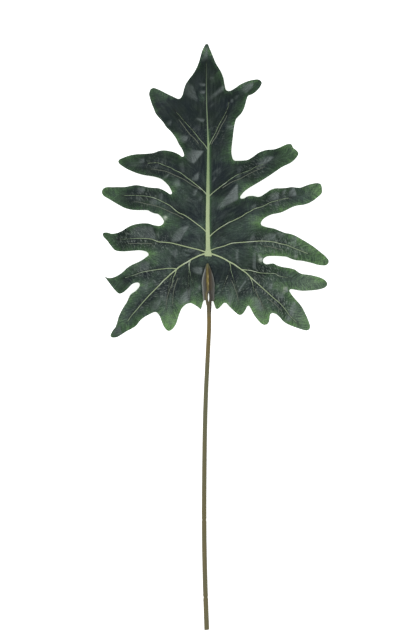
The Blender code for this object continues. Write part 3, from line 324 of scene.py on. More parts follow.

# Fine creases, drawn only in the colour: a painted highlight where their strength is above 0, else painted
# shade. Strength, half width, line
CREASE_SHADING = [
    (0.7, 1.2, [(-47.5, 6), (-44.5, 1.5), (-41, -2.5), (-39, -1), (-37, 3)]),
    (0.5, 1.6, [(-47.5, -4), (-46.5, -12), (-45, -17)]), (-0.7, 1.7, [(-43, 0), (-41.5, -8), (-42, -15)]),
    (0.7, 1.8, [(105.5, -61), (102.5, -68), (99, -75), (96, -81)]),
    (0.55, 1.0, [(-32, 2), (-28, -0.5), (-25, -1.5), (-22, -1)]),
    (0.6, 0.9, [(-30, 5), (-25, 3.2), (-20, 2)]), (-0.75, 0.9, [(-29, 2.7), (-25, 1), (-20, 0)]),
    (0.4, 1.4, [(-18, 5.5), (-14, 4), (-10, 2.5)]), (0.22, 2.4, [(-13, 9), (-11, 17), (-14, 24), (-19, 29)]),
    (0.3, 1.5, [(-54, -20), (-52, -25)]), (0.3, 1.3, [(-48, -19), (-46.5, -23)]),
    (0.35, 0.9, [(-62, -22), (-57, -25)]), (0.35, 1.6, [(-67, -32), (-61, -36)]),
    (0.3, 1.1, [(-51, -38), (-50, -46), (-51, -54), (-49, -60)]),
    (0.35, 1.8, [(-54, -42), (-57, -50), (-56, -55)]), (0.3, 0.9, [(-46.5, -32), (-47.5, -40)]),
    (0.28, 1.1, [(-44.5, -46), (-46, -56), (-46, -64)]), (-0.4, 1.4, [(-41, -42), (-42, -52), (-40, -66)]),
    (0.25, 0.9, [(-49, -60), (-49.5, -68)]), (-0.4, 1.2, [(-25.5, -40), (-24.8, -55)]),
    (0.5, 1.7, [(33.6, 4), (34, -4), (35.4, -12)]), (0.5, 1.5, [(54, 24), (50.8, 16), (48.5, 10)]),
    (0.7, 0.8, [(57, 7), (58.8, 3), (60, -2), (61.5, -7)]), (-0.55, 1.7, [(57.6, 2), (58.5, -8), (58, -16)]),
    (0.4, 0.9, [(60, 3), (63, 3.6), (66.5, 0.5)]), (0.3, 0.9, [(27, 5.5), (33, 5.5), (36, 3)]),
    (0.3, 0.9, [(20, 2.5), (12, 2.5)]), (0.22, 2.2, [(8, 14), (15, 19), (22, 15), (26, 12.5)]),
    (0.35, 1.4, [(23.5, -3), (28, -5.5)]), (0.4, 2.0, [(28, -38), (29, -52), (27, -60)]),
    (0.35, 0.9, [(33.5, -50), (34, -60)]), (0.3, 1.0, [(60.5, -53), (65, -60), (70, -68)]),
    (0.3, 0.9, [(62, -60), (65, -70)]), (0.5, 1.3, [(68.5, -55), (73, -51)]),
    (0.3, 1.0, [(-4, 182), (-1, 178)]), (0.3, 1.0, [(2, 176), (6.5, 180.5)]),
    (0.5, 1.4, [(24, 180.5), (23, 178)]), (0.3, 0.9, [(-95, 106), (-85, 106.5), (-77, 106)]),
    (-0.4, 2.0, [(-72, 111), (-66, 106.5)]), (0.22, 1.0, [(-40, 80), (-30, 75.5), (-20, 72)]),
    (0.2, 2.0, [(-27, 66), (-12, 62)]), (-0.5, 1.6, [(-79, 66.5), (-72, 65)]),
    (0.4, 0.9, [(-60, 60), (-56.5, 63)]), (0.4, 0.9, [(-53, 57.5), (-51, 60.5)]),
    (-0.5, 0.9, [(-58, 60.8), (-55.5, 58.5)]), (0.4, 1.3, [(-48, 46), (-44, 49)]),
    (0.3, 2.2, [(-64.5, 104.5), (-59, 106)]), (0.35, 1.3, [(4, 94), (9, 99), (14, 103)]),
    (0.5, 1.6, [(34, 92), (38.5, 95)]), (0.4, 0.9, [(86, 66.5), (92, 68), (98, 66.5)]),
    (0.3, 1.1, [(79, 60), (84, 58)]), (-0.7, 1.0, [(69, 115.5), (72, 113)]),
    (-0.7, 0.9, [(65.3, 111.8), (66.5, 110.5)]), (-0.7, 1.0, [(75.5, 113), (79, 110.8)]),
    (-0.6, 0.9, [(83.5, 71.5), (87.5, 67.5)]), (-0.5, 0.9, [(87, 74), (91.5, 69.5)]),
    (-0.6, 1.5, [(79, 27.5), (84, 20), (86, 14.5)]), (0.45, 0.8, [(84.5, 20), (87, 14)]),
    (0.4, 0.8, [(75, 8), (80.5, 8.3)]), (0.4, 0.8, [(83, 7.3), (89, 4.3)]), (0.4, 0.8, [(91, 8.5), (95, 5)]),
    (-0.5, 0.9, [(92.5, 6), (94, 3)]), (0.4, 0.8, [(96, 7), (98.5, 4)]),
    (-0.5, 1.0, [(99.5, 4.5), (101, 0)]), (0.35, 1.3, [(93, -20), (94, -26)]),
    (0.35, 1.4, [(100.8, -19.5), (98.6, -27)]), (-0.4, 2.2, [(104, -22), (105, -29)]),
    (0.35, 1.0, [(84, -25), (90, -28), (98, -28)]), (0.35, 1.0, [(79, -46), (85, -47)]),
    (0.35, 1.0, [(80, -50), (87, -50.5)]), (-0.4, 1.0, [(78, -48), (86, -48.7)]),
]

# Painted highlights where curled edges in the notches shine almost white: x, y, radius and strength
CURL_HIGHLIGHTS = [
    (-51.5, 43.5, 2.0, 0.8), (-53.0, 40.5, 1.4, 0.6), (62.5, -7.2, 2.3, 1.0), (61.0, -2.0, 1.3, 0.5),
    (92.0, -41.0, 2.2, 0.6), (90.0, -45.0, 2.0, 0.35), (105.0, -3.0, 1.6, 0.4),
]

# The fabric's relief
LIGHT_FROM = (-0.75, 0.66)    # the way that the creased facets face
CREST_HALF = 0.6              # half the width of a facet's crisp edge
FACET_FADE = 0.75             # the share of a facet's strength that is lost across it
CREASE_STEP = 0.5
WRINKLE_LENGTHS = (6, 18)
WRINKLE_WIDTHS = (1.4, 3.2)
WRINKLE_BEND = 2.0
RIPPLE_SIZE = 7.0
RIPPLE_HEIGHT = 0.3
LOOSE_RIM = 9.0               # width of the band along the outline that flutters
FLUTTER_SIZE = 11.0
FLUTTER_HEIGHT = 0.5
SEAT_MIDDLE = (0, -35)        # the oval under the clip, where the fabric is flat
SEAT_HALVES = (9, 27)

# The veins and what follows them
VEIN_STEP = 0.8
VEIN_LAST_STEPS = 12          # the last steps of a vein, which give its heading past its end
VEIN_BEYOND = 45.0            # how far past its printed end a vein still orders the brushed hairs
VEIN_FADE = 10.0              # length over which its darker sides fade there
VEIN_SHIFT = 41.0             # sets each vein's hairs apart from the next one's
FLARE_OF_ROOT = 0.94          # a vein's flare is this share of its half width at the root,
FLARE_LESS = 0.24             # less this
FLARE_REACH = 2.5
OUTWARDS = (25, 145)          # distances from the hub over which veins turn greener,
TO_THE_TIP = (120, 230)       # and then fainter
HALO_WIDTH = 2.1
HALO_END = 150                # where it ends along the midrib
HALO_LEFT = 0.35              # its strength on the left of the midrib
PRESSED_SHADE = 1.6

# The clip: its slot, plate and keel
SLOT_X = 0.07
SLOT_HALF = 1.1
SLOT_TOP = -44.5
SLOT_END = -59
SLOT_FLOOR = 9.1              # height of its floor
SLOT_SWELL = 0.2
CLIP_SWELL = [(-76, 0.2), (-70, 0.4), (-62, 0.6), (-52, 0.4), (-44, 0.2), (-40, 0)]
PLATE_END = -57
PLATE_BOTTOM = 9.7            # heights of its two sides
PLATE_TOP = 10.3
PLATE_DROP = 0.65             # how far it reaches down to the thin cloth
PLATE_SWELL = 0.5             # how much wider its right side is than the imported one
SLOT_RISE = 0.8               # how much further up its slot reaches
KEEL_CREST = [(-48, 0.1), (-16, -1.1)]  # the y and x of its two ends
KEEL_FORK = -46
# Where highlights are painted along the keel
KEEL_HIGHLIGHTS = (-27.0, -35.3)
# Where the painted highlight on the plate's edges lies, stronger on the left
HIGHLIT_ROW = 1.0                # length of the strips in which the plate's edges are found
HIGHLIT_LEFT = 1.7
HIGHLIT_RIGHT = 1.1

# The stem's middle line, as x, y and height, its two moulded rings and its ends
STEM_LINE = [(0.65, -70, 10.3), (0.6, -90, 9.7), (-1.2, -128, 7.3), (-3.1, -168, 4.7),
             (-4.3, -210, 3.1), (-5, -262, 2.55), (-5.25, -310, 2.6), (-4.95, -352, 2.63),
             (-4.1, -392, 2.66), (-3.1, -422, 2.68), (-1.9, -456, 2.7)]
RINGS_AT = (-319.0, -412.0)
GROOVE_DEPTH = 0.13           # as a share of the radius, as is the beads' height
GROOVE_WIDTH = 1.2
BEAD_OFF = 3                  # from the groove to the bead on each side
BEAD_HEIGHT = 0.035
BEAD_WIDTH = 0.9
OFF_THE_FLOOR = 0.04
GREENING = (-105, -155)       # the stretches over which it turns greener, and browner
BROWNING = (-130, -95)
GREENEST_AT = -185
NECK_END = -75.0
STEM_END = -451.1
STEM_END_X = -1.9
END_SLANT = math.radians(7)
HOLE_DEPTH = 8

# The wire along the back of the midrib
RIB_WIRE_FROM = -34.0
RIB_WIRE_JOINS = -4.0         # where it reaches the midrib's line
RIB_WIRE_TO = 186.0
RIB_WIRE_X = -0.3             # before it does
RIB_WIRE_STEP = 2.0


def place(x, y, z=0.0):
    """A point of the drawing, in millimetres, as metres in the model's frame."""
    return HUB + Vector((x, y, z)) * MM


def drawn(points):
    """The x and y of points in metres, as millimetres in the drawing."""
    flat = np.asarray(points, float)[:, :2]
    return (flat - np.array(HUB[:2])) / MM


class Wire:
    """An output socket that takes part in Python sums."""

    def __init__(self, tree, socket):
        self.tree = tree
        self.socket = socket

    def __add__(self, other):
        return self.tree.math("ADD", self, other)

    def __sub__(self, other):
        return self.tree.math("SUBTRACT", self, other)

    def __rsub__(self, other):
        return self.tree.math("SUBTRACT", other, self)

    def __mul__(self, other):
        return self.tree.math("MULTIPLY", self, other)

    def __truediv__(self, other):
        return self.tree.math("DIVIDE", self, other)

    def __rtruediv__(self, other):
        return self.tree.math("DIVIDE", other, self)

    __radd__ = __add__
    __rmul__ = __mul__

    def at_least(self, other):
        return self.tree.math("MAXIMUM", self, other)

    def at_most(self, other):
        return self.tree.math("MINIMUM", self, other)


class Tree:
    """A node tree under construction."""

    def __init__(self, tree):
        self.tree = tree

    def feed(self, socket, value):
        """Links a wire to a socket, or sets the socket's own value."""
        if isinstance(value, Wire):
            self.tree.links.new(value.socket, socket)
        else:
            socket.default_value = value

    def node(self, kind, settings=None, inputs=None, output=0):
        """Adds a node: its settings first, then what goes into its sockets."""
        made = self.tree.nodes.new(kind)
        for name, value in (settings or {}).items():
            setattr(made, name, value)
        for key, value in (inputs or {}).items():
            self.feed(made.inputs[key], value)
        return Wire(self, made.outputs[output])

    def math(self, operation, *values):
        return self.node("ShaderNodeMath", {"operation": operation}, dict(enumerate(values)))

    def combine(self, x, y, z):
        return self.node("ShaderNodeCombineXYZ", None, {0: x, 1: y, 2: z})

    def parts(self, vector, axes):
        """The named coordinates of a vector."""
        return [self.node("ShaderNodeSeparateXYZ", None, {0: vector}, output=axis) for axis in axes]


class Finish(Tree):
    """The material of one finish."""

    def __init__(self, name, **constants):
        self.material = bpy.data.materials.new(name)
        self.material.use_nodes = True
        super().__init__(self.material.node_tree)
        self.surface = self.tree.nodes["Principled BSDF"]
        self.paint(**constants)
        self.object_place = self.node("ShaderNodeTexCoord", output="Object")

    def paint(self, **values):
        """Feeds the surface's sockets, whose names have _ for a space."""
        for socket, value in values.items():
            self.feed(self.surface.inputs[socket.replace("_", " ")], value)
        return self.material

    def attribute(self, name):
        return self.node("ShaderNodeAttribute", {"attribute_name": name}, output="Fac")

    def noise(self, scale, detail=2.0, roughness=0.5, vector=None, stretch=None):
        """Noise by place on the piece. The scale counts features a metre."""
        vector = vector or self.object_place
        if stretch:
            vector = self.node("ShaderNodeMapping", None, {"Vector": vector, "Scale": stretch})
        return self.node("ShaderNodeTexNoise", None,
                         {"Vector": vector, "Scale": scale, "Detail": detail, "Roughness": roughness})

    def drawn_out(self, along, across, lane, detail=4.0, roughness=0.7):
        """Noise drawn out beside a line, as hairs are. Its lane sets it apart from the others."""
        return self.noise(1.0, detail, roughness, self.combine(along, across, lane))

    def ramp(self, value, low, high):
        """Rises evenly from 0 to 1 while the value goes from low to high."""
        return self.node("ShaderNodeMapRange", None, {0: value, 1: low, 2: high})

    def smooth(self, value, low, high):
        """Rises softly from 0 to 1 while the value goes from low to high."""
        return self.node("ShaderNodeMapRange", {"interpolation_type": "SMOOTHSTEP"},
                         {0: value, 1: low, 2: high})

    def mix(self, share, first, second, blend="MIX"):
        settings = {"data_type": "RGBA", "blend_type": blend}
        return self.node("ShaderNodeMix", settings, {0: share, 6: first, 7: second}, output=2)

    def cover(self, tint, *coats):
        """Lays colours over a tint in turn, each given as its share and its colour."""
        for share, coat in coats:
            tint = self.mix(share, tint, coat)
        return tint

    def lit(self, tint, level):
        """The tint times a level of light."""
        return self.mix(1.0, tint, self.combine(level, level, level), "MULTIPLY")

    def wave(self, value, period):
        """A sine of the value, from 0 to 1."""
        return self.math("SINE", value * (math.tau / period)) * 0.5 + 0.5

    def threads(self, period):
        """The crests where the weave's threads cross."""
        x, y = self.parts(self.object_place, "XY")
        return self.wave(x, period) * self.wave(y, period)

    def bump(self, height, distance, strength):
        return self.node("ShaderNodeBump", None,
                         {"Height": height, "Distance": distance, "Strength": strength}, output="Normal")


class Recipe(Tree):
    """A Geometry Nodes tree with named inputs."""

    def __init__(self, name):
        super().__init__(bpy.data.node_groups.new(name, "GeometryNodeTree"))
        for way in ("INPUT", "OUTPUT"):
            self.tree.interface.new_socket("Geometry", in_out=way, socket_type="NodeSocketGeometry")
        self.start = self.tree.nodes.new("NodeGroupInput")

    def ask(self, name, kind="Float"):
        """A named input of the tree."""
        self.tree.interface.new_socket(name, in_out="INPUT", socket_type="NodeSocket" + kind)
        return Wire(self, self.start.outputs[name])

    def given(self):
        """The geometry that the tree starts from."""
        return Wire(self, self.start.outputs["Geometry"])

    def resampled(self, step):
        """The given curve in even steps."""
        return self.node("GeometryNodeResampleCurve", {"mode": "LENGTH"},
                         {"Curve": self.given(), "Length": step})

    def level(self, ground, x, y, start, way):
        """Height at which a ray that leaves the start height, up or down, meets a surface."""
        surface = self.node("GeometryNodeObjectInfo", None, {"Object": ground}, output="Geometry")
        hit = self.node("GeometryNodeRaycast", None,
                        {"Target Geometry": surface, "Source Position": self.combine(x, y, start),
                         "Ray Direction": (0.0, 0.0, way), "Ray Length": RAY_LENGTH},
                        output="Hit Position")
        return self.parts(hit, "Z")[0]

    def moved(self, shape, x, y, z):
        """The shape with its points set to a new place."""
        return self.node("GeometryNodeSetPosition", None,
                         {"Geometry": shape, "Position": self.combine(x, y, z)})

    def sweep(self, curve, sides, capped=True):
        """A round bar along a curve, as thick as the curve's own radius."""
        profile = self.node("GeometryNodeCurvePrimitiveCircle", None, {"Resolution": sides, "Radius": 1.0})
        radius = self.node("GeometryNodeInputRadius")
        return self.node("GeometryNodeCurveToMesh", None,
                         {"Curve": curve, "Profile Curve": profile, "Scale": radius, "Fill Caps": capped})

    def finish(self, shape, material):
        """Ends the tree: instances made real, and the material set."""
        shape = self.node("GeometryNodeSetShadeSmooth", None, {"Geometry": shape})
        shape = self.node("GeometryNodeRealizeInstances", None, {"Geometry": shape})
        shape = self.node("GeometryNodeSetMaterial", None, {"Geometry": shape, "Material": material})
        end = self.tree.nodes.new("NodeGroupOutput")
        self.feed(end.inputs["Geometry"], shape)
        return self.tree


def link(thing):
    """Puts an object in the scene."""
    bpy.context.scene.collection.objects.link(thing)
    return thing


def plain_mesh(thing):
    """The finished mesh of an object with live modifiers."""
    bpy.context.view_layer.update()
    evaluated = thing.evaluated_get(bpy.context.evaluated_depsgraph_get())
    return bpy.data.meshes.new_from_object(evaluated)


def grow(thing, name, tree, **values):
    """Runs a tree on a helper object and returns what it makes as a piece with a plain mesh."""
    step = thing.modifiers.new(name, "NODES")
    step.node_group = tree
    for item in tree.interface.items_tree:
        key = item.name.replace(" ", "_").lower()
        if item.in_out == "INPUT" and key in values:
            step[item.identifier] = values[key]
    piece = bpy.data.objects.new(name, plain_mesh(thing))
    if not len(piece.data.polygons):
        raise RuntimeError(f"{name} came out empty")
    bpy.data.objects.remove(thing, do_unlink=True)
    return link(piece)


def smooth_line(points, step, corners=(), closed=False):
    """Points about a step apart on a smooth curve through the given ones, sharp at the corners."""
    knots = np.array(points, float)
    count = len(knots)
    line = []
    for i in range(count if closed else count - 1):
        follows = (i + 1) % count
        start, stop = knots[i], knots[follows]
        before = knots[i - 1] if (closed or i) and i not in corners else start
        last = follows in corners or (not closed and follows == count - 1)
        after = stop if last else knots[(i + 2) % count]
        cuts = max(1, math.ceil(np.linalg.norm(stop - start) / step))
        for t in np.arange(cuts) / cuts:
            line.append(0.5 * (2 * start + (stop - before) * t
                               + (2 * before - 5 * start + 4 * stop - after) * t ** 2
                               + (3 * start - before - 3 * stop + after) * t ** 3))
    if not closed:
        line.append(knots[-1])
    return np.array(line)


def lengths_along(line):
    """How far along a line each of its points lies."""
    return np.concatenate([[0.0], np.cumsum(np.linalg.norm(np.diff(line, axis=0), axis=1))])


def tree_of(points):
    """A search tree over flat points."""
    found = KDTree(len(points))
    for i, point in enumerate(points):
        found.insert((point[0], point[1], 0.0), i)
    found.balance()
    return found


def nearest(found, points):
    """For each flat point, the number of the nearest one in the search tree and its distance."""
    hits = [found.find((x, y, 0.0)) for x, y in points]
    return np.array([hit[1] for hit in hits]), np.array([hit[2] for hit in hits])


def soft_step(value):
    """Rises softly from 0 to 1 while the value does."""
    value = np.clip(value, 0.0, 1.0)
    return value * value * (3 - 2 * value)


def rise(value, low, high):
    """Goes softly from 0 to 1 while the value goes from low to high, or down to a lesser high."""
    return soft_step((value - low) / (high - low))


def bell(value, middle, width):
    """A soft hump of height 1 about the middle."""
    return np.exp(-((value - middle) / width) ** 2)


def welded(node):
    """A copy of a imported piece's triangles, joined to one skin."""
    skin = bmesh.new()
    skin.from_mesh(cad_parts[node].data)
    bmesh.ops.remove_doubles(skin, verts=skin.verts, dist=SAME_PLACE)
    skin.normal_update()
    return skin


def blade_outline(step):
    """The blade's outline in drawing millimetres, smooth but for its sharp corners."""
    skin = welded("leaf_blade")
    upper = {f for f in skin.faces if f.normal.z > FACES_UP}
    rim = [e for e in skin.edges if sum(f in upper for f in e.link_faces) == 1]
    ways = {}
    for edge in rim:
        for vert in edge.verts:
            ways.setdefault(vert, []).append(edge.other_vert(vert))
    start = max(ways, key=lambda v: v.co.y)
    loop = [start]
    here = ways[start][0]
    while here != start:
        ahead = [v for v in ways[here] if v != loop[-1]]
        loop.append(here)
        here = ahead[0]
    knots = drawn([v.co for v in loop])
    skin.free()
    if len(loop) != len(rim):
        raise RuntimeError("the packed blade's outline is not one loop")
    legs = np.roll(knots, -1, axis=0) - knots
    headings = np.arctan2(legs[:, 1], legs[:, 0])
    turns = np.abs(np.angle(np.exp(1j * (headings - np.roll(headings, 1)))))
    corners = set(np.nonzero(turns > SHARP_TURN)[0].tolist())
    return np.clip(smooth_line(knots, step, corners, closed=True), knots.min(axis=0), knots.max(axis=0))


def inner_points(outline, spacing, margin):
    """A staggered grid of points inside the outline, clear of it by the margin."""
    ax, ay = outline.T
    bx, by = np.roll(outline, -1, axis=0).T
    row_step = spacing * math.sqrt(3) / 2
    columns = np.arange(ax.min(), ax.max(), spacing)
    spots = []
    for row, y in enumerate(np.arange(ay.min() + row_step / 2, ay.max(), row_step)):
        crossed = (ay > y) != (by > y)
        share = (y - ay[crossed]) / (by - ay)[crossed]
        cuts = np.sort(ax[crossed] + share * (bx - ax)[crossed])
        x = columns + row % 2 * spacing / 2
        x = x[np.searchsorted(cuts, x) % 2 == 1]
        spots.append(np.column_stack([x, np.full(len(x), y)]))
    spots = np.vstack(spots)
    _, away = nearest(tree_of(outline), spots)
    return spots[away > margin]


def blur(grid, sigma):
    """A grid softened in both directions. The sigma counts cells."""
    reach = math.ceil(3 * sigma)
    weights = np.exp(-0.5 * (np.arange(-reach, reach + 1) / sigma) ** 2)
    weights /= weights.sum()
    for _ in range(2):
        wide = np.pad(grid, ((reach, reach), (0, 0)), mode="edge")
        grid = sum(w * wide[i:i + len(grid)] for i, w in enumerate(weights)).T
    return grid


class Underside:
    """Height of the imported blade's underside, in millimetres, smoothed over its coarse facets."""

    CELL = 1.5
    BORDER = 6.0
    RAY_START = -5.0
    SPREAD = 4.0              # cells over which heights spread past the blade's rim
    LEAST_SHARE = 0.001       # of known heights round a cell, for them to count there

    def __init__(self, softness):
        skin = BVHTree.FromObject(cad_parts["leaf_blade"], bpy.context.evaluated_depsgraph_get())
        low, high = drawn([BLADE_LOW, BLADE_HIGH])
        self.low = low - self.BORDER
        size = np.ceil((high + self.BORDER - self.low) / self.CELL).astype(int)
        heights = np.zeros(size)
        known = np.zeros(size)
        up = Vector((0, 0, 1))
        for i, j in np.ndindex(*size):
            x, y = self.low + np.array([i, j]) * self.CELL
            hit = skin.ray_cast(place(x, y, self.RAY_START), up)[0]
            if hit:
                heights[i, j] = hit.z / MM
                known[i, j] = 1.0
        sigma = softness / self.CELL
        wide = blur(heights, self.SPREAD) / np.maximum(blur(known, self.SPREAD), 1e-9)
        filled = np.where(known > 0, heights, wide)
        near = blur(known, sigma)
        soft = blur(heights, sigma) / np.maximum(near, self.LEAST_SHARE)
        self.grid = np.where(near > self.LEAST_SHARE, soft, filled)

    def at(self, points):
        """The height at each point, evened out between the cells."""
        cells = (points - self.low) / self.CELL
        whole = np.clip(np.floor(cells).astype(int), 0, np.array(self.grid.shape) - 2)
        u, v = (cells - whole).T
        i, j = whole.T
        lower = self.grid[i, j] * (1 - u) + self.grid[i + 1, j] * u
        upper = self.grid[i, j + 1] * (1 - u) + self.grid[i + 1, j + 1] * u
        return lower * (1 - v) + upper * v


def facet_masks(points, toward):
    """How strongly each point shows a creased facet, in painted sheen and in gloss, and the lift that tilts
    the facets. A facet is crisp at its first edge, the crest, and fades from there. Its other edges are
    soft."""
    shine = np.zeros(len(points))
    lift = np.zeros(len(points))
    for strength, softness, corners in FACETS:
        ring = np.array(corners, float)
        middle = ring.mean(axis=0)
        mask = np.ones(len(points))
        for i, (start, stop) in enumerate(zip(ring, np.roll(ring, -1, axis=0))):
            along = (stop - start) / np.linalg.norm(stop - start)
            across = np.array([-along[1], along[0]])
            if (middle - start) @ across < 0:
                across = -across
            inward = (points - start) @ across
            if i:
                mask *= rise(inward, -0.8 * softness, 1.2 * softness)
            else:
                depth = max((ring - start) @ across)
                mask *= rise(inward, -CREST_HALF, CREST_HALF)
                mask *= np.clip(1.0 - FACET_FADE * inward / depth, 0, 1)
        shine = np.maximum(shine, strength * mask)
        lift -= strength * mask * ((points - middle) @ toward)
    return shine, lift


def wrinkle_lift(points, count, height, seed):
    """Small creases strewn over the fabric, up and down."""
    draw = random.Random(seed)
    low, high = points.min(axis=0), points.max(axis=0)
    lift = np.zeros(len(points))
    for _ in range(count):
        middle = np.array([draw.uniform(low[0], high[0]), draw.uniform(low[1], high[1])])
        heading = draw.uniform(0, math.pi)
        along = np.array([math.cos(heading), math.sin(heading)])
        length = draw.uniform(*WRINKLE_LENGTHS)
        width = draw.uniform(*WRINKLE_WIDTHS)
        peak = draw.uniform(-1, 1) * height
        offset = points - middle
        u = offset @ along / length
        v = (offset[:, 0] * along[1] - offset[:, 1] * along[0] + WRINKLE_BEND * u * u) / width
        lift += peak * np.exp(-u ** 4 - v * v)
    return lift


def noise_sheet(points, size, level):
    """Soft noise over flat points, with features about that size."""
    return np.array([noise((x / size, y / size, level)) for x, y in points])


def spots_sum(points, spots):
    """Soft round spots of x, y, radius and strength, added up."""
    total = np.zeros(len(points))
    for x, y, radius, strength in spots:
        total += strength * bell(np.hypot(points[:, 0] - x, points[:, 1] - y), 0, radius)
    return total


def print_and_shading_tone(points):
    """How light the print and its painted light and shade are, from 0 for the darkest to 1 for the greenest
    lobe ends.
    """
    return np.interp(points[:, 1], *zip(*PRINT_AND_SHADING_LEVELS)) + spots_sum(points, PRINT_AND_SHADING_SPOTS)


def crease_shading_marks(points):
    """How strongly the fine creases' painted highlight lightens each point, or their painted shade darkens
    it where below 0.
    """
    marks = np.zeros(len(points))
    for strength, half, corners in CREASE_SHADING:
        line = smooth_line(corners, CREASE_STEP)
        low, high = line.min(axis=0) - 3 * half, line.max(axis=0) + 3 * half
        near = np.all((points > low) & (points < high), axis=1)
        gaps = points[near][:, None] - line
        squares = (gaps ** 2).sum(axis=2)
        ends = np.sin(np.pi * (squares.argmin(axis=1) + 0.5) / len(line)) ** 0.5
        marks[near] += strength * ends * np.exp(-squares.min(axis=1) / half ** 2)
    return marks


def midrib_halo(points):
    """The green that shows along the midrib's sides, stronger on the right."""
    rib = smooth_line(MIDRIB, 1.0)
    spot, away = nearest(tree_of(rib), points)
    edge = np.maximum(away - rib[spot, 2], 0)
    side = np.where(points[:, 0] > rib[spot, 0], 1.0, HALO_LEFT)
    return bell(edge, 0, HALO_WIDTH) * side * (points[:, 1] < HALO_END) * (points[:, 1] > 0)


def pressed_shade(points):
    """The shade beside the pressed lines."""
    knots = np.vstack([smooth_line(line, VEIN_STEP) for line in PRESSED_LINES.values()])
    _, away = nearest(tree_of(knots), points)
    return bell(away, 0, PRESSED_SHADE)


def vein_marks(points):
    """Each point's signed distance from its nearest vein, how far along that vein it lies, and
    whether it lies beside the printed part or past its end."""
    lines = [[(x, y) for x, y, _ in MIDRIB]] + [line for _, _, line in PRINTED_VEINS.values()]
    knots = []
    for number, line in enumerate(lines):
        fine = smooth_line(line, VEIN_STEP)
        ahead = fine[-1] - fine[-VEIN_LAST_STEPS]
        steps = np.arange(VEIN_STEP, VEIN_BEYOND, VEIN_STEP)[:, None]
        fine = np.vstack([fine, fine[-1] + steps * ahead / np.linalg.norm(ahead)])
        heading = np.gradient(fine, axis=0)
        run = lengths_along(fine)
        end = run[-len(steps) - 1]
        printed = rise(run, end + VEIN_FADE, end)
        knots.append(np.column_stack([fine, heading, run + VEIN_SHIFT * number, printed]))
    knots = np.vstack(knots)
    number, away = nearest(tree_of(knots), points)
    offset = points - knots[number, :2]
    side = knots[number, 2] * offset[:, 1] - knots[number, 3] * offset[:, 0]
    return np.where(side < 0, -away, away), knots[number, 4], knots[number, 5]


def store(mesh, name, values):
    """Keeps a number for each of the mesh's points, for its material to read."""
    layer = mesh.attributes.new(name, "FLOAT", "POINT")
    layer.data.foreach_set("value", np.asarray(values, np.float32))


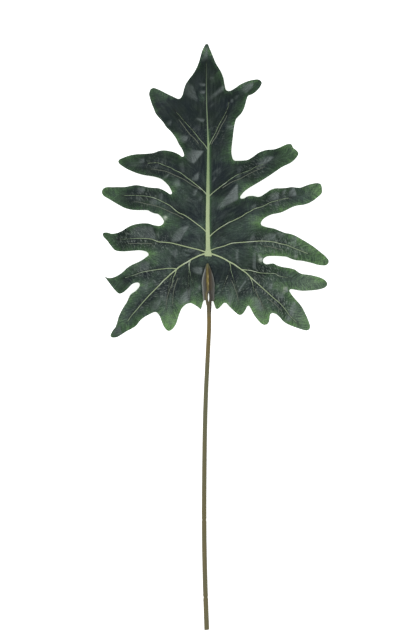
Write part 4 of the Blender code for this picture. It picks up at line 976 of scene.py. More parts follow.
def fabric_finish(settings):
    """Printed satin: dark blue-green, brushed to lighter green from the edges, with a soft sheen, real and
    painted.
    """
    art = Finish("printed_fabric", Specular_IOR_Level=0.16)
    rim, shine, vein, run, printed, crease = [
        art.attribute(name) for name in ("rim_mm", "shine", "vein_mm", "vein_run", "printed", "crease")]
    off = art.math("ABSOLUTE", vein)
    broad = art.noise(38.0)
    cloud = art.noise(110.0, detail=3.0, roughness=0.6)
    grain = art.noise(800.0, roughness=0.7)

    # Hairs brushed outwards from the veins and inwards from the rim, and folds beside the veins
    sway = art.noise(30.0, detail=1.0) * 2.6 - 0.2
    feathers = art.drawn_out((run - off * sway) * 0.8, vein * 0.09, lane=0.0)
    hairs = art.drawn_out(art.attribute("rim_run") * 0.6, rim * 0.09, lane=0.0)
    crinkles = art.drawn_out((run + vein * 0.5) * 0.6, vein * 0.22, lane=9.0, detail=2.0)
    folds = art.drawn_out(run * 0.06, vein * 0.42, lane=3.0, detail=2.0, roughness=0.5)
    feather = art.smooth(feathers, 0.34, 0.66)
    hair = art.smooth(hairs, 0.34, 0.66)
    fold = art.smooth(folds, 0.35, 0.7)
    brushed = feather * 0.5 + 0.6

    # The print's colour, with the painted light and shade in its stored tone: lighter to the rim, darker
    # beside the veins
    edge = art.smooth(hairs * 9.0 + broad * 6.0 - 5.0 - rim, -4.0, 4.0)
    beside = art.smooth(off, 9.0, 1.0) * printed
    tone = art.attribute("tone") * settings.contrast + edge * (hair * 0.14 + 0.12)
    tone = tone + art.smooth(rim, 6.0, 0.0) * 0.16 - beside * 0.14
    strokes = (feather - 0.5) * 0.7 + (hair - 0.5) * 0.5
    tone = tone + strokes * (tone.at_least(0.0) * 0.6 + 0.08) + (broad - 0.5) * 0.75 + (cloud - 0.5) * 0.15
    dark = art.mix(art.smooth(broad, 0.35, 0.65), settings.dark_blue, settings.dark_green)
    tint = art.cover(dark,
                     (art.ramp(tone, 0.0, 0.5), settings.middle),
                     (art.ramp(tone, 0.5, 1.0), settings.green),
                     (art.ramp(tone, 1.0, 1.3), settings.bright_green))
    hue = hairs * 0.4 + cloud * 0.4 + broad * 0.4 + art.attribute("cast") * 0.3
    hue = hue + art.smooth(rim, 14.0, 2.0) * 0.12 - art.smooth(rim, 16.0, 27.0) * 0.06
    hue = art.smooth(hue, 0.45, 0.82)
    tint = art.mix(1.0, tint, art.mix(hue, settings.greyer, settings.greener), "MULTIPLY")

    # The green beside the midrib, and the satin's light on folds, facets, creases and curled edges, painted
    # into the colour
    # Painted sheen on the folds and brushed hairs, stronger where the print is lighter
    satin_sheen = fold * art.smooth(rim, 2.0, 14.0) * (cloud + 0.2) + feather * cloud * 0.3
    satin_sheen = satin_sheen * (art.ramp(tone, -0.35, 0.05) * 0.2 + 0.1)
    # Painted sheen on the creased facets
    glint = shine * brushed * (cloud * 0.6 + 0.75)
    tint = art.cover(tint,
                     (art.attribute("halo") * 0.8, settings.halo),
                     (satin_sheen, settings.satin_sheen),
                     (glint.at_most(1.0) * 0.9, settings.painted_sheen),
                     (crease.at_least(0.0) * brushed * 0.65, settings.painted_sheen),
                     (art.attribute("curl") * brushed, settings.curl))

    # Painted highlights and shade in flecks where the cloth is crinkled, and painted shade beside veins and
    # pressed lines
    zone = art.attribute("crinkled") * art.smooth(off, 20.0, 5.0) * (1.0 - shine)
    crinkle_glint = art.smooth(crinkles, 0.52, 0.64) * zone
    tint = art.mix(crinkle_glint * 0.6, tint, settings.crinkle_glint)
    crinkle_shade = art.smooth(crinkles, 0.5, 0.38) * zone * 0.2
    shadow = art.smooth(off, 2.2, 0.6) * printed * 0.4 + art.attribute("pressed") * 0.25
    # Painted shade along the darker creases
    shadow = shadow + (crease * -1.0).at_least(0.0) * 0.48

    # The weave's crossed threads, and the whole print's own light and dark
    x, y = art.parts(art.object_place, "XY")
    bend = broad * 0.012
    weft = art.wave(y - x * 0.22 + bend, settings.weave)
    warp = art.wave(x + y * 0.1 + bend, settings.weave)
    lines = weft * 0.6 + warp * 0.4
    lively = art.ramp(tone, -0.1, 0.5) * 0.7 + 0.3
    level = (grain * 1.1 + 0.45) * ((lines - 0.5) * (lively * 0.26) + 1.0)
    level = level * ((feather - 0.5) * lively * 0.44 + 1.08) * (1.0 - shadow) * (1.0 - crinkle_shade)
    return art.paint(Base_Color=art.lit(tint, level), Roughness=0.56 - shine * 0.1 + grain * 0.08,
                     Normal=art.bump(art.threads(settings.thread) + grain * 1.5, 0.06 * MM, 0.6))


def back_finish(settings):
    """The unprinted back: paler, matt, with the weave showing."""
    art = Finish("fabric_back", Specular_IOR_Level=0.2)
    cloud = art.noise(60.0, detail=3.0, roughness=0.6)
    grain = art.noise(1100.0, detail=1.0, roughness=0.6)
    tint = art.mix(cloud, settings.back, settings.back_dark)
    return art.paint(Base_Color=tint, Roughness=grain * 0.1 + 0.78,
                     Normal=art.bump(art.threads(settings.thread) + grain, 0.08 * MM, 0.7))


def vein_finish(settings):
    """Pale printed veins: yellowish at the hub, greener and broken into dashes further out."""
    art = Finish("vein_print", Specular_IOR_Level=0.25)
    half = art.attribute("half") / MM
    tone = art.attribute("tone")
    mottle = art.noise(700.0, roughness=0.6)
    dash = art.noise(260.0)
    near_hub = art.smooth(tone, 1.1, 0.6)
    slim = art.smooth(half, 0.85, 0.5) * art.smooth(tone, 2.0, 1.4)
    tint = art.cover(settings.pale,
                     (art.ramp(tone + mottle * 0.3 - 0.15, 0.0, 1.0), settings.far),
                     (art.ramp(tone, 1.0, 2.0), settings.faint),
                     (slim * 0.35, settings.far),
                     (art.smooth(half, 0.6, 1.2) * art.smooth(tone, 0.1, 0.7) * 0.5, settings.rib),
                     (art.smooth(half, 0.5, 0.28) * near_hub * 0.8, settings.thin))
    # A painted highlight on the veins' crests near the hub
    gleam = art.smooth(art.noise(110.0), 0.5, 0.68) * art.smooth(half, 1.6, 0.9)
    tint = art.mix(gleam * near_hub * 0.5, art.lit(tint, mottle * 0.5 + 0.75), settings.gleam)
    ink = art.smooth(half - dash * 0.4 + 0.035, 0.0, 0.3)
    return art.paint(Base_Color=tint, Roughness=mottle * 0.15 + 0.5, Alpha=ink)


def pressed_finish(settings):
    """The pressed lines: a painted highlight along their crests, lighter and browner than the print."""
    art = Finish("pressed_crest", Specular_IOR_Level=0.25)
    along = art.attribute("along")
    mottle = art.noise(500.0, detail=3.0, roughness=0.6)
    tint = art.mix(mottle, settings.crest, settings.crest_dark)
    ends = art.smooth(along, 0.0, 0.1) * art.smooth(1.0 - along, 0.0, 0.3)
    ink = art.smooth(ends * 0.8 - mottle + 0.15, -0.1, 0.25) * 0.85
    return art.paint(Base_Color=tint, Roughness=mottle * 0.1 + 0.5, Alpha=ink)


def clip_finish(settings):
    """Moulded plastic: a golden keel with dark flanks on a mauve plate, drawn along its length, with painted
    highlights on the plate's edges and the keel, and painted shade on the right leg.
    """
    art = Finish("moulded_clip", Specular_IOR_Level=0.3)
    lines = art.noise(900.0, roughness=0.6, stretch=(1.0, 0.08, 0.5))
    spots = art.noise(240.0, stretch=(1.0, 0.45, 1.0))
    plate = art.mix(art.smooth(lines, 0.35, 0.65), settings.plate, settings.plate_dark)
    gold = art.mix(art.smooth(spots, 0.4, 0.62), settings.keel_dark, settings.keel)
    coats = {"worn": settings.worn, "flank": settings.flank, "gold": gold, "glow": settings.glow,
             "khaki": settings.khaki, "neck": settings.neck, "warm": settings.warm, "dark": settings.dark}
    tint = art.cover(plate, *((art.attribute(mark), coat) for mark, coat in coats.items()))
    return art.paint(Base_Color=tint, Roughness=lines * 0.15 + 0.4,
                     Normal=art.bump(lines, 0.12 * MM, 0.5))


def stem_finish(settings):
    """Olive-brown plastic over wire, with long streaks and faint clouding."""
    art = Finish("stem_plastic", Specular_IOR_Level=0.05)
    streaks = art.noise(700.0, detail=3.0, roughness=0.6, stretch=(1.0, 0.03, 1.0))
    cloud = art.noise(26.0)
    tint = art.cover(settings.olive,
                     (art.smooth(cloud, 0.35, 0.65), settings.brown),
                     (art.attribute("greening"), settings.grey_green),
                     (art.attribute("browning") * 0.7, settings.warm),
                     (art.smooth(streaks, 0.55, 0.75) * 0.4, settings.streak))
    return art.paint(Base_Color=tint, Roughness=streaks * 0.2 + 0.45,
                     Normal=art.bump(streaks, 0.1 * MM, 0.5))


def steel_finish(settings):
    """Drawn steel wire, a little dulled."""
    art = Finish("drawn_steel", Metallic=1.0)
    lines = art.noise(1500.0, roughness=0.6, stretch=(1.0, 0.05, 1.0))
    tint = art.mix(lines, settings.steel_dark, settings.steel)
    return art.paint(Base_Color=tint, Roughness=lines * 0.2 + 0.3)


def drape_recipe():
    """Ribbons of a given flatness that lie on a surface along flat curves drawn above it."""
    recipe = Recipe("draped_ribbons")
    ground = recipe.ask("Ground", "Object")
    step = recipe.ask("Step")
    sides = recipe.ask("Sides", "Int")
    flatness = recipe.ask("Flatness")
    sunk = recipe.ask("Sunk")
    material = recipe.ask("Material", "Material")
    curve = recipe.resampled(step)
    along = recipe.node("GeometryNodeSplineParameter", output="Factor")
    half = recipe.node("GeometryNodeInputRadius")
    for mark, value in (("along", along), ("half", half)):
        curve = recipe.node("GeometryNodeStoreNamedAttribute", {"data_type": "FLOAT", "domain": "POINT"},
                            {"Geometry": curve, "Name": mark, "Value": value})
    curve = recipe.node("GeometryNodeSetCurveNormal", {"mode": "Z_UP"}, {"Curve": curve})
    ribbon = recipe.sweep(curve, sides)
    x, y, z = recipe.parts(recipe.node("GeometryNodeInputPosition"), "XYZ")
    level = recipe.level(ground, x, y, RAY_FROM_ABOVE, -1.0)
    height = level + (z * flatness).at_least(sunk * -1.0)
    return recipe.finish(recipe.moved(ribbon, x, y, height), material)


def curves(name, lines):
    """A helper curve object: a spline for each line of x, y, height if it has one, and radius."""
    curve = bpy.data.curves.new(name, "CURVE")
    curve.dimensions = "3D"
    for line in lines:
        spline = curve.splines.new("POLY")
        spline.points.add(len(line) - 1)
        for knot, (*spot, radius) in zip(spline.points, line):
            knot.co = (*place(*spot), 1.0)
            knot.radius = radius * MM
    return link(bpy.data.objects.new(name, curve))


def tapered(points, root, tip, flare=0.0):
    """A smooth line whose half width shrinks from its root to its tip, flared where it begins."""
    line = smooth_line(points, 1.0)
    share = np.linspace(0, 1, len(line))
    run = np.arange(len(line))
    return np.column_stack([line, root + (tip - root) * share + flare * np.exp(-run / FLARE_REACH)])


def length(name, description, millimetres):
    """A size that a user may change."""
    return FloatProperty(name=name, description=description, default=millimetres * MM, unit="LENGTH")


def colour(name, description, red, green, blue):
    """A colour that a user may change."""
    return FloatVectorProperty(name=name, description=description, default=(red, green, blue, 1.0),
                               subtype="COLOR", size=4)


class BladeSettings(bpy.types.PropertyGroup):
    """Sizes and colours of the printed fabric."""

    spacing: length("Mesh spacing", "Distance between points of the fabric", 1.25)
    thickness: length("Fabric", "Thickness of the printed cloth", 0.35)
    softness: length("Softness", "Distance over which the folds are rounded", 2.6)
    tilt: FloatProperty(name="Facet tilt", description="Slope of the creased facets", default=0.16)
    wrinkles: IntProperty(name="Wrinkles", description="Number of small creases", default=420)
    wrinkle_height: length("Wrinkle height", "Height of the small creases", 0.28)
    seed: IntProperty(name="Seed", description="Start of the random draw for the creases", default=7)
    thread: length("Thread", "Width of two threads of the weave", 0.55)
    weave: length("Weave", "Repeat of the crossed threads that show in the print", 2.9)
    # The contrast also scales the painted light and shade in the print's stored tone.
    contrast: FloatProperty(name="Contrast", description="Strength of the print's light and dark places",
                            default=1.1)
    # A painted sheen on the folds and brushed hairs
    satin_sheen: colour("Veil", "Greyer bloom on the brushed hairs", 0.10, 0.125, 0.108)
    # A painted highlight on the crinkles beside the veins
    crinkle_glint: colour("Speck", "Pale flecks beside the veins", 0.24, 0.27, 0.235)
    halo: colour("Halo", "Green along the midrib's sides", 0.042, 0.094, 0.036)
    dark_blue: colour("Dark blue", "Darkest print, bluish", 0.0078, 0.0150, 0.0170)
    dark_green: colour("Dark green", "Darkest print, greenish", 0.0078, 0.0158, 0.0136)
    middle: colour("Middle", "Print halfway to the edges", 0.049, 0.080, 0.056)
    green: colour("Green", "Print at the lobes' ends", 0.124, 0.190, 0.108)
    bright_green: colour("Bright green", "Print at the brightest lobe end", 0.17, 0.275, 0.13)
    greyer: colour("Greyer", "Cast of the greyer hairs", 0.93, 0.89, 1.0)
    greener: colour("Greener", "Cast of the greener hairs", 0.80, 1.0, 0.64)
    # A painted sheen, on the creased facets and the light creases
    painted_sheen: colour("Sheen", "Colour of the creased facets", 0.165, 0.190, 0.182)
    # A painted highlight on the curled edges in the notches
    curl: colour("Curl", "Curled edges in the notches", 0.42, 0.47, 0.38)
    back: colour("Back", "Unprinted back of the cloth", 0.16, 0.22, 0.12)
    back_dark: colour("Back, darker", "Darker clouds on the back", 0.10, 0.15, 0.08)


class VeinSettings(bpy.types.PropertyGroup):
    """Sizes and colours of the printed veins and the pressed lines."""

    flatness: FloatProperty(name="Flatness", description="Height of a vein as a share of its width",
                            default=0.16)
    step: length("Step", "Length of a vein's faces", 1.2)
    sides: IntProperty(name="Sides", description="Points round a vein", default=14)
    sunk: length("Sunk", "Depth of a vein's lower side in the fabric", 0.12)
    pressed_half: length("Pressed line", "Half the width of a pressed line", 0.5)
    pressed_end: length("Pressed line's end", "Half the width of a pressed line at its end", 0.3)
    pressed_flatness: FloatProperty(name="Pressed flatness",
                                    description="Height of a pressed line as a share of its width",
                                    default=0.3)
    pale: colour("Pale", "Veins at the hub", 0.435, 0.512, 0.282)
    far: colour("Far", "Veins at their ends", 0.222, 0.292, 0.172)
    faint: colour("Faint", "The midrib near the tip", 0.055, 0.080, 0.048)
    rib: colour("Midrib", "Yellower green of the midrib's middle stretch", 0.225, 0.33, 0.13)
    thin: colour("Thin", "Twigs and the veins' thin ends", 0.165, 0.245, 0.165)
    # A painted highlight
    gleam: colour("Gleam", "Light on the veins' crests", 0.58, 0.64, 0.52)
    # Painted highlights along the pressed lines' crests, brighter and dimmer
    crest: colour("Crest", "Worn print on the pressed lines", 0.20, 0.22, 0.165)
    crest_dark: colour("Crest, darker", "Less worn pressed lines", 0.10, 0.12, 0.09)


class ClipSettings(bpy.types.PropertyGroup):
    """Fineness and colours of the moulded clip."""

    voxel: length("Voxel", "Size of the moulded surface's faces", 0.28)
    plate: colour("Plate", "Mauve-brown of the plate", 0.096, 0.093, 0.080)
    plate_dark: colour("Plate, darker", "Darker lines on the plate", 0.064, 0.058, 0.047)
    keel: colour("Keel", "Golden brown of the keel", 0.215, 0.168, 0.038)
    keel_dark: colour("Keel, darker", "Darker spots on the keel", 0.138, 0.108, 0.028)
    flank: colour("Flank", "Dark reddish flanks of the keel", 0.062, 0.047, 0.028)
    # Painted highlights on the keel
    glow: colour("Glow", "Light spots on the keel", 0.36, 0.28, 0.12)
    khaki: colour("Khaki", "Tip of the clip", 0.110, 0.108, 0.048)
    # A painted highlight on the plate's edges
    worn: colour("Worn edge", "Pale grey edges of the plate", 0.215, 0.225, 0.205)
    neck: colour("Neck", "Legs below the plate", 0.104, 0.088, 0.042)
    warm: colour("Warm end", "Neck where it meets the stem", 0.160, 0.124, 0.050)
    # Painted shade on the right leg and the fork's right side
    dark: colour("Dark side", "Dark right leg", 0.036, 0.029, 0.019)


class StemSettings(bpy.types.PropertyGroup):
    """Sizes and colours of the stem's coating."""

    top_radius: length("Top radius", "Radius of the coating at the clip", 2.62)
    end_radius: length("End radius", "Radius of the coating at its cut end", 2.95)
    bore: length("Bore", "Radius of the hole for the wire", 1.05)
    unevenness: length("Unevenness", "Height of the coating's faint lumps", 0.05)
    sides: IntProperty(name="Sides", description="Points round the stem", default=40)
    olive: colour("Olive", "Olive plastic", 0.150, 0.132, 0.070)
    brown: colour("Brown", "Browner plastic", 0.172, 0.132, 0.060)
    grey_green: colour("Grey green", "Greener stretch of the stem", 0.146, 0.144, 0.084)
    warm: colour("Warm", "Browner plastic near the clip", 0.190, 0.137, 0.050)
    streak: colour("Streak", "Pale streaks along the stem", 0.24, 0.20, 0.12)


class WireSettings(bpy.types.PropertyGroup):
    """Sizes and colours of the wires."""

    radius: length("Radius", "Radius of the wire along the back of the midrib", 0.6)
    sides: IntProperty(name="Sides", description="Points round that wire", default=12)
    steel: colour("Steel", "Bright lines along the wires", 0.55, 0.54, 0.51)
    steel_dark: colour("Steel, darker", "Dull lines along the wires", 0.32, 0.31, 0.29)


class StageSettings(bpy.types.PropertyGroup):
    """The floor, the lights and the camera."""

    camera_height: FloatProperty(name="Camera height", description="Height of the camera over the leaf",
                                 default=8.0, unit="LENGTH")
    floor: colour("Floor", "Colour of the floor", 0.93, 0.93, 0.93)
    floor_dark: colour("Floor, darker", "Faint clouds on the floor", 0.9, 0.9, 0.9)
    sky: colour("Sky", "Colour of the light from all round", 0.9, 0.95, 1.0)
    sky_power: FloatProperty(name="Sky light", description="Strength of the light from all round",
                             default=0.37)
    key_power: FloatProperty(name="Key light", description="Power of the light at the upper left",
                             default=24.0, unit="POWER")
    fill_power: FloatProperty(name="Fill light", description="Power of the lights at the right and foot",
                              default=12.0, unit="POWER")


class LEAF_OT_blade(bpy.types.Operator):
    """Makes the printed fabric blade"""
    bl_idname = "leaf.blade"
    bl_label = "Blade"

    def execute(self, context):
        settings = context.scene.leaf_blade
        spacing = settings.spacing / MM
        outline = blade_outline(spacing)
        inner = inner_points(outline, spacing, RIM_CLEARANCE * settings.spacing / MM)
        count = len(outline)
        rim = [(i, (i + 1) % count) for i in range(count)]
        verts = [Vector(point) for point in np.vstack([outline, inner])]
        inside_only = 1
        flat, _, faces, _, _, _ = delaunay_2d_cdt(verts, rim, [], inside_only, SAME_POINT)
        points = np.array([tuple(point) for point in flat])
        height, marks = self.shape(points, outline, settings)
        mesh = bpy.data.meshes.new("blade_fabric")
        mesh.from_pydata([place(x, y, z) for (x, y), z in zip(points, height)], [], faces)
        for name, values in marks.items():
            store(mesh, name, values)
        if sum(face.normal.z for face in mesh.polygons) < 0:
            mesh.flip_normals()
        mesh.shade_smooth()
        sheet = link(bpy.data.objects.new("blade_sheet", mesh))
        mesh.materials.append(fabric_finish(settings))
        mesh.materials.append(back_finish(settings))
        thick = sheet.modifiers.new("thickness", "SOLIDIFY")
        thick.thickness = settings.thickness
        thick.offset = 1.0
        thick.material_offset = 1
        thick.material_offset_rim = 1
        piece = link(bpy.data.objects.new("blade_fabric", plain_mesh(sheet)))
        bpy.data.objects.remove(sheet, do_unlink=True)
        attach(piece, BODY)
        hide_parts("leaf_blade")
        return {"FINISHED"}

    @staticmethod
    def shape(points, outline, settings):
        """Height of the fabric's underside, and the marks that its print and its painted light and shade
        follow.
        """
        number, rim = nearest(tree_of(outline), points)
        shine, lift = facet_masks(points, np.array(LIGHT_FROM) * settings.tilt)
        lift += wrinkle_lift(points, settings.wrinkles, settings.wrinkle_height / MM, settings.seed)
        ripple = noise_sheet(points, RIPPLE_SIZE, 0.3)
        flutter = noise_sheet(points, FLUTTER_SIZE, 4.0)
        lift += RIPPLE_HEIGHT * ripple + FLUTTER_HEIGHT * (1 - rise(rim, 0, LOOSE_RIM)) * flutter
        from_seat = (points - SEAT_MIDDLE) / SEAT_HALVES
        lift *= rise(np.hypot(*from_seat.T), 1.0, 1.5)
        height = np.maximum(Underside(settings.softness / MM).at(points) + lift, 0.0)
        vein, vein_run, printed = vein_marks(points)
        marks = {
            "rim_mm": rim,
            "vein_mm": vein,
            "vein_run": vein_run,
            "printed": printed,
            "pressed": pressed_shade(points),
            "halo": midrib_halo(points),
            "crinkled": np.clip(spots_sum(points, CRINKLED), 0, 1),
            "curl": np.clip(spots_sum(points, CURL_HIGHLIGHTS), 0, 1),
            "crease": crease_shading_marks(points),
            "cast": spots_sum(points, CASTS),
            "rim_run": lengths_along(outline)[number],
            "shine": shine,
            "tone": print_and_shading_tone(points),
        }
        return height, marks


class LEAF_OT_veins(bpy.types.Operator):
    """Lays the printed veins and the pressed lines on the fabric"""
    bl_idname = "leaf.veins"
    bl_label = "Veins"

    def execute(self, context):
        settings = context.scene.leaf_veins
        lines = [smooth_line(MIDRIB, 1.0)]
        for root, end, points in PRINTED_VEINS.values():
            flare = FLARE_OF_ROOT * root - FLARE_LESS
            lines.append(tapered(points, root, end, flare))
        pressed = [tapered(points, settings.pressed_half / MM, settings.pressed_end / MM)
                   for points in PRESSED_LINES.values()]
        drape = drape_recipe()
        for name, drawing, finish, flatness in (
                ("printed_veins", lines, vein_finish(settings), settings.flatness),
                ("pressed_lines", pressed, pressed_finish(settings), settings.pressed_flatness)):
            piece = grow(curves(name + "_lines", drawing), name, drape,
                         ground=bpy.data.objects["blade_fabric"], step=settings.step,
                         sides=settings.sides, flatness=flatness, sunk=settings.sunk, material=finish)
            away = np.hypot(*drawn([v.co for v in piece.data.vertices]).T)
            store(piece.data, "tone", rise(away, *OUTWARDS) + rise(away, *TO_THE_TIP))
            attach(piece, BODY)
        return {"FINISHED"}


class LEAF_OT_clip(bpy.types.Operator):
    """Makes the moulded clip that holds the blade"""
    bl_idname = "leaf.clip"
    bl_label = "Clip"

    def execute(self, context):
        settings = context.scene.leaf_clip
        skin = welded("leaf_clip")
        rough = bpy.data.meshes.new("clip_rough")
        skin.to_mesh(rough)
        skin.free()
        helper = link(bpy.data.objects.new("clip_rough", rough))
        remesh = helper.modifiers.new("remesh", "REMESH")
        remesh.mode = "VOXEL"
        remesh.voxel_size = settings.voxel
        rounding = helper.modifiers.new("rounding", "SMOOTH")
        rounding.factor = 0.5
        rounding.iterations = 5
        mesh = plain_mesh(helper)
        bpy.data.objects.remove(helper, do_unlink=True)
        self.swell(mesh)
        self.mark(mesh)
        mesh.shade_smooth()
        mesh.materials.clear()
        mesh.materials.append(clip_finish(settings))
        piece = link(bpy.data.objects.new("clip_moulding", mesh))
        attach(piece, BODY)
        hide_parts("leaf_clip")
        return {"FINISHED"}

    @staticmethod
    def swell(mesh):
        """Thickens the legs and the neck a little, to the photographed width, opens the slot, and
        lets the plate reach down to the thin cloth."""
        verts = np.array([v.co for v in mesh.vertices])
        normals = np.array([v.normal for v in mesh.vertices])
        x, y = drawn(verts).T
        z = verts[:, 2] / MM
        from_slot = np.abs(x - SLOT_X)
        in_slot = (from_slot < SLOT_HALF) & (y < SLOT_TOP) & (y > SLOT_END) & (z > SLOT_FLOOR)
        amount = np.interp(y, *zip(*CLIP_SWELL))
        amount = np.where(in_slot, SLOT_SWELL, amount)
        verts[:, :2] += normals[:, :2] * amount[:, None] * MM
        plate_right = rise(x, 5, 6.5) * rise(y, -31, -37) * rise(y, -56, -53)
        verts[:, 0] += PLATE_SWELL * MM * plate_right
        slot_top = (from_slot < SLOT_HALF + 0.5) * rise(y, -43.5, -46) * rise(y, -51, -48)
        verts[:, 1] += SLOT_RISE * MM * slot_top
        verts[(z < PLATE_BOTTOM) & (y > PLATE_END), 2] -= PLATE_DROP * MM
        mesh.vertices.foreach_set("co", verts.ravel())
        mesh.update()

    @staticmethod
    def mark(mesh):
        """Marks the parts of the moulding that differ in colour, and where its highlights and shade are
        painted.
        """
        spots = np.array([v.co for v in mesh.vertices])
        x, y = drawn(spots).T
        z = spots[:, 2] / MM
        # A painted highlight along the plate's edges, stronger on the left
        worn = np.zeros(len(x))
        for low in np.arange(y.min(), y.max(), HIGHLIT_ROW):
            rows = (y >= low) & (y < low + HIGHLIT_ROW)
            if rows.any():
                left = (x[rows] - x[rows].min()) / HIGHLIT_LEFT
                right = (x[rows].max() - x[rows]) / HIGHLIT_RIGHT
                worn[rows] = np.exp(-left ** 4) + 0.5 * np.exp(-right ** 4)
        side = x - np.interp(y, *zip(*KEEL_CREST))
        raised = rise(z, PLATE_TOP, PLATE_TOP + 0.8)
        on_plate = rise(y, PLATE_END, PLATE_END + 2)
        body = rise(y, KEEL_FORK, KEEL_FORK + 4)
        fork = (1 - body) * raised * on_plate
        legs = 1 - on_plate
        # Painted shade on the right leg, along the line below the slot and on the fork's right side
        right_leg_shade = rise(x, 1.4, 2.2) * rise(y, -74, -66)
        slot_shade = 0.5 * bell(x, -0.2, 0.5) * rise(y, -66, -62)
        flank = np.where(side > 0, rise(side, 5.4, 3.0), rise(side, -2.9, -2.3) * 0.7)
        keel = raised * rise(side, -2.3, -1.6) * rise(side, 1.2, 0.6) * body
        # Painted highlights on the keel's crest
        glow = bell(side, 0.3, 0.6) * sum(bell(y, at, 1.9) for at in KEEL_HIGHLIGHTS)
        marks = {
            "worn": worn * on_plate * (z < 11) * rise(y, -14, -20),
            "flank": flank * body * rise(y, -14, -18),
            "gold": keel * (1 - 0.45 * bell(y, -41.5, 3.2)) + fork * rise(x, -0.4, -1.6) * 0.6,
            "glow": glow * raised,
            "khaki": rise(y, -19, -14) * 0.8,
            "neck": legs,
            "warm": rise(y, -65, -75) * 0.8,
            "dark": np.maximum(right_leg_shade, slot_shade) * legs * 0.85 + fork * rise(x, 0.4, 1.0) * 0.8,
        }
        for name, values in marks.items():
            store(mesh, name, np.clip(values, 0, 1))


class LEAF_OT_stem(bpy.types.Operator):
    """Makes the stem's plastic coating with its rings and its cut end"""
    bl_idname = "leaf.stem"
    bl_label = "Stem"

    def execute(self, context):
        settings = context.scene.leaf_stem
        line = smooth_line(STEM_LINE, 1.0)
        line = line[line[:, 1] < NECK_END]
        y = line[:, 1]
        share = (y - NECK_END) / (STEM_END - NECK_END)
        radius = (settings.top_radius + (settings.end_radius - settings.top_radius) * share) / MM
        for ring in RINGS_AT:
            radius *= 1 - GROOVE_DEPTH * bell(y, ring, GROOVE_WIDTH)
            beads = bell(y, ring + BEAD_OFF, BEAD_WIDTH) + bell(y, ring - BEAD_OFF, BEAD_WIDTH)
            radius *= 1 + BEAD_HEIGHT * beads
        height = np.maximum(line[:, 2], radius + OFF_THE_FLOOR)
        helper = curves("stem_line", [np.column_stack([line[:, :2], height, radius])])
        piece = grow(helper, "stem_coating", self.recipe(), sides=settings.sides,
                     unevenness=settings.unevenness, material=stem_finish(settings))
        self.cut_end(piece.data, settings.bore)
        y = drawn([v.co for v in piece.data.vertices])[:, 1]
        greenest = 0.45 + 0.5 * bell(y, GREENEST_AT, 50)
        store(piece.data, "greening", rise(y, *GREENING) * greenest)
        store(piece.data, "browning", rise(y, *BROWNING))
        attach(piece, BODY)
        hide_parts("stem")
        return {"FINISHED"}

    @staticmethod
    def recipe():
        """A round bar along a curve, made slightly uneven."""
        recipe = Recipe("coated_stem")
        sides = recipe.ask("Sides", "Int")
        unevenness = recipe.ask("Unevenness")
        material = recipe.ask("Material", "Material")
        bar = recipe.sweep(recipe.given(), sides, capped=False)
        lump = recipe.node("ShaderNodeTexNoise", None, {"Scale": 90.0, "Detail": 2.0})
        normal = recipe.node("GeometryNodeInputNormal")
        offset = recipe.node("ShaderNodeVectorMath", {"operation": "SCALE"},
                             {0: normal, "Scale": (lump - 0.5) * unevenness})
        bar = recipe.node("GeometryNodeSetPosition", None, {"Geometry": bar, "Offset": offset})
        return recipe.finish(bar, material)

    @staticmethod
    def cut_end(mesh, bore):
        """Cuts the lower end on a slant, with the hole for the wire, and closes the upper end."""
        skin = bmesh.new()
        skin.from_mesh(mesh)
        slant = Vector((math.sin(END_SLANT), -math.cos(END_SLANT), 0.0))
        bmesh.ops.bisect_plane(skin, geom=skin.verts[:] + skin.edges[:] + skin.faces[:],
                               plane_co=place(STEM_END_X, STEM_END), plane_no=slant, clear_outer=True)
        open_edges = [e for e in skin.edges if e.is_boundary]
        middle = place(STEM_END_X, (NECK_END + STEM_END) / 2).y
        for lower in (True, False):
            ring = [e for e in open_edges if (e.verts[0].co.y < middle) == lower]
            centre = sum((e.verts[0].co for e in ring), Vector()) / len(ring)
            for depth in (0.0, HOLE_DEPTH * MM) if lower else (0.0,):
                made = bmesh.ops.extrude_edge_only(skin, edges=ring)["geom"]
                ring = [g for g in made if isinstance(g, bmesh.types.BMEdge) and g.is_boundary]
                for vert in [g for g in made if isinstance(g, bmesh.types.BMVert)]:
                    if depth:
                        vert.co -= slant * depth
                    else:
                        vert.co = centre + (vert.co - centre).normalized() * bore
            bmesh.ops.edgeloop_fill(skin, edges=ring)
        bmesh.ops.recalc_face_normals(skin, faces=skin.faces[:])
        skin.to_mesh(mesh)
        skin.free()


class LEAF_OT_wires(bpy.types.Operator):
    """Finishes the steel core and lays the wire along the back of the midrib"""
    bl_idname = "leaf.wires"
    bl_label = "Wires"

    def execute(self, context):
        settings = context.scene.leaf_wires
        steel = steel_finish(settings)
        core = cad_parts["stem_wire"]
        core.data.materials.clear()
        core.data.materials.append(steel)
        half = settings.radius / MM
        line = [(RIB_WIRE_X, y, half) for y in np.arange(RIB_WIRE_FROM, RIB_WIRE_JOINS, RIB_WIRE_STEP)]
        line += [(x, y, half) for x, y, _ in smooth_line(MIDRIB, RIB_WIRE_STEP) if y <= RIB_WIRE_TO]
        piece = grow(curves("rib_wire_line", [line]), "rib_wire", self.recipe(),
                     ground=bpy.data.objects["blade_fabric"], radius=settings.radius,
                     sides=settings.sides, material=steel)
        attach(piece, BODY)
        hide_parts("midrib_wire")
        return {"FINISHED"}

    @staticmethod
    def recipe():
        """A round wire that lies against the underside of a surface."""
        recipe = Recipe("wire_under_surface")
        ground = recipe.ask("Ground", "Object")
        radius = recipe.ask("Radius")
        sides = recipe.ask("Sides", "Int")
        material = recipe.ask("Material", "Material")
        curve = recipe.resampled(RIB_WIRE_STEP * MM)
        x, y = recipe.parts(recipe.node("GeometryNodeInputPosition"), "XY")
        level = recipe.level(ground, x, y, RAY_FROM_BELOW, 1.0)
        return recipe.finish(recipe.sweep(recipe.moved(curve, x, y, level - radius), sides), material)


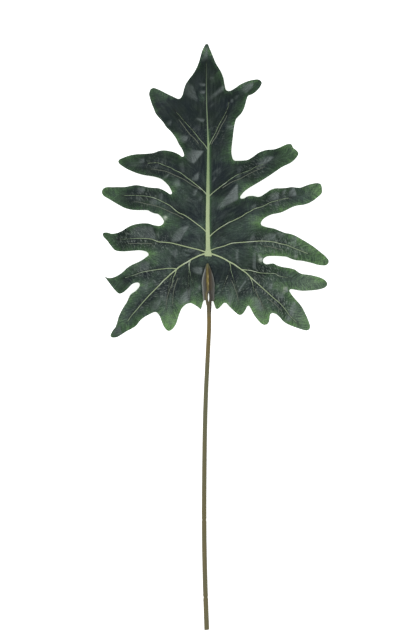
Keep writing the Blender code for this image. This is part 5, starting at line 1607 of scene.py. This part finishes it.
class LEAF_OT_stage(bpy.types.Operator):
    """Makes the pale floor, the soft lights and the camera straight above the leaf"""
    bl_idname = "leaf.stage"
    bl_label = "Stage"

    def execute(self, context):
        settings = context.scene.leaf_stage
        self.floor(settings)
        for name, spot, size, power in LIGHTS:
            self.light(name, spot, size, getattr(settings, power))
        world = bpy.data.worlds.new("studio")
        world.use_nodes = True
        sky = world.node_tree.nodes["Background"].inputs
        sky["Color"].default_value = settings.sky
        sky["Strength"].default_value = settings.sky_power
        context.scene.world = world
        lens = bpy.data.cameras.new("camera")
        lens.sensor_width = FILM
        lens.lens = FILM * settings.camera_height / (VIEW_HEIGHT * MM)
        lens.clip_end = FARTHEST
        camera = link(bpy.data.objects.new("camera", lens))
        camera.location = place(*VIEW_MIDDLE, VIEW_LEVEL) + Vector((0, 0, settings.camera_height))
        context.scene.camera = camera
        context.scene.view_settings.view_transform = "Standard"
        return {"FINISHED"}

    @staticmethod
    def floor(settings):
        """A wide pale floor."""
        art = Finish("floor", Roughness=0.9, Emission_Strength=0.85)
        tint = art.mix(art.noise(3.0) * 0.1, settings.floor, settings.floor_dark)
        art.paint(Base_Color=tint, Emission_Color=tint)
        bpy.ops.mesh.primitive_plane_add(size=FLOOR_SIZE)
        floor = bpy.context.object
        floor.name = "floor"
        floor.data.materials.append(art.material)

    @staticmethod
    def light(name, spot, size, power):
        """A soft light, turned to the hub."""
        lamp = bpy.data.lights.new(name, "AREA")
        lamp.shape = "RECTANGLE"
        lamp.size, lamp.size_y = size
        lamp.energy = power
        thing = link(bpy.data.objects.new(name, lamp))
        thing.location = spot
        thing.rotation_euler = (HUB - thing.location).to_track_quat("-Z", "Y").to_euler()
        thing.visible_camera = False


class LEAF_PT_panel(bpy.types.Panel):
    """Lists the steps that make the leaf"""
    bl_idname = "LEAF_PT_panel"
    bl_label = "Philodendron Leaf"
    bl_space_type = "VIEW_3D"
    bl_region_type = "UI"
    bl_category = "Leaf"

    def draw(self, context):
        for name, (group, operator) in STEPS.items():
            box = self.layout.box()
            box.operator(operator.bl_idname)
            for setting in group.__annotations__:
                box.prop(getattr(context.scene, name), setting)


STEPS = {
    "leaf_stage": (StageSettings, LEAF_OT_stage),
    "leaf_blade": (BladeSettings, LEAF_OT_blade),
    "leaf_veins": (VeinSettings, LEAF_OT_veins),
    "leaf_clip": (ClipSettings, LEAF_OT_clip),
    "leaf_stem": (StemSettings, LEAF_OT_stem),
    "leaf_wires": (WireSettings, LEAF_OT_wires),
}


def register():
    """Registers the settings, the operators and the panel."""
    for name, (group, operator) in STEPS.items():
        bpy.utils.register_class(group)
        setattr(bpy.types.Scene, name, PointerProperty(type=group))
        bpy.utils.register_class(operator)
    bpy.utils.register_class(LEAF_PT_panel)


def unregister():
    """Takes away what register() added."""
    bpy.utils.unregister_class(LEAF_PT_panel)
    for name, (group, operator) in reversed(STEPS.items()):
        bpy.utils.unregister_class(operator)
        delattr(bpy.types.Scene, name)
        bpy.utils.unregister_class(group)


def main():
    """Makes the stage and the leaf."""
    register()
    bpy.ops.leaf.stage()
    bpy.ops.leaf.blade()
    bpy.ops.leaf.veins()
    bpy.ops.leaf.clip()
    bpy.ops.leaf.stem()
    bpy.ops.leaf.wires()


if __name__ == "__main__":
    main()
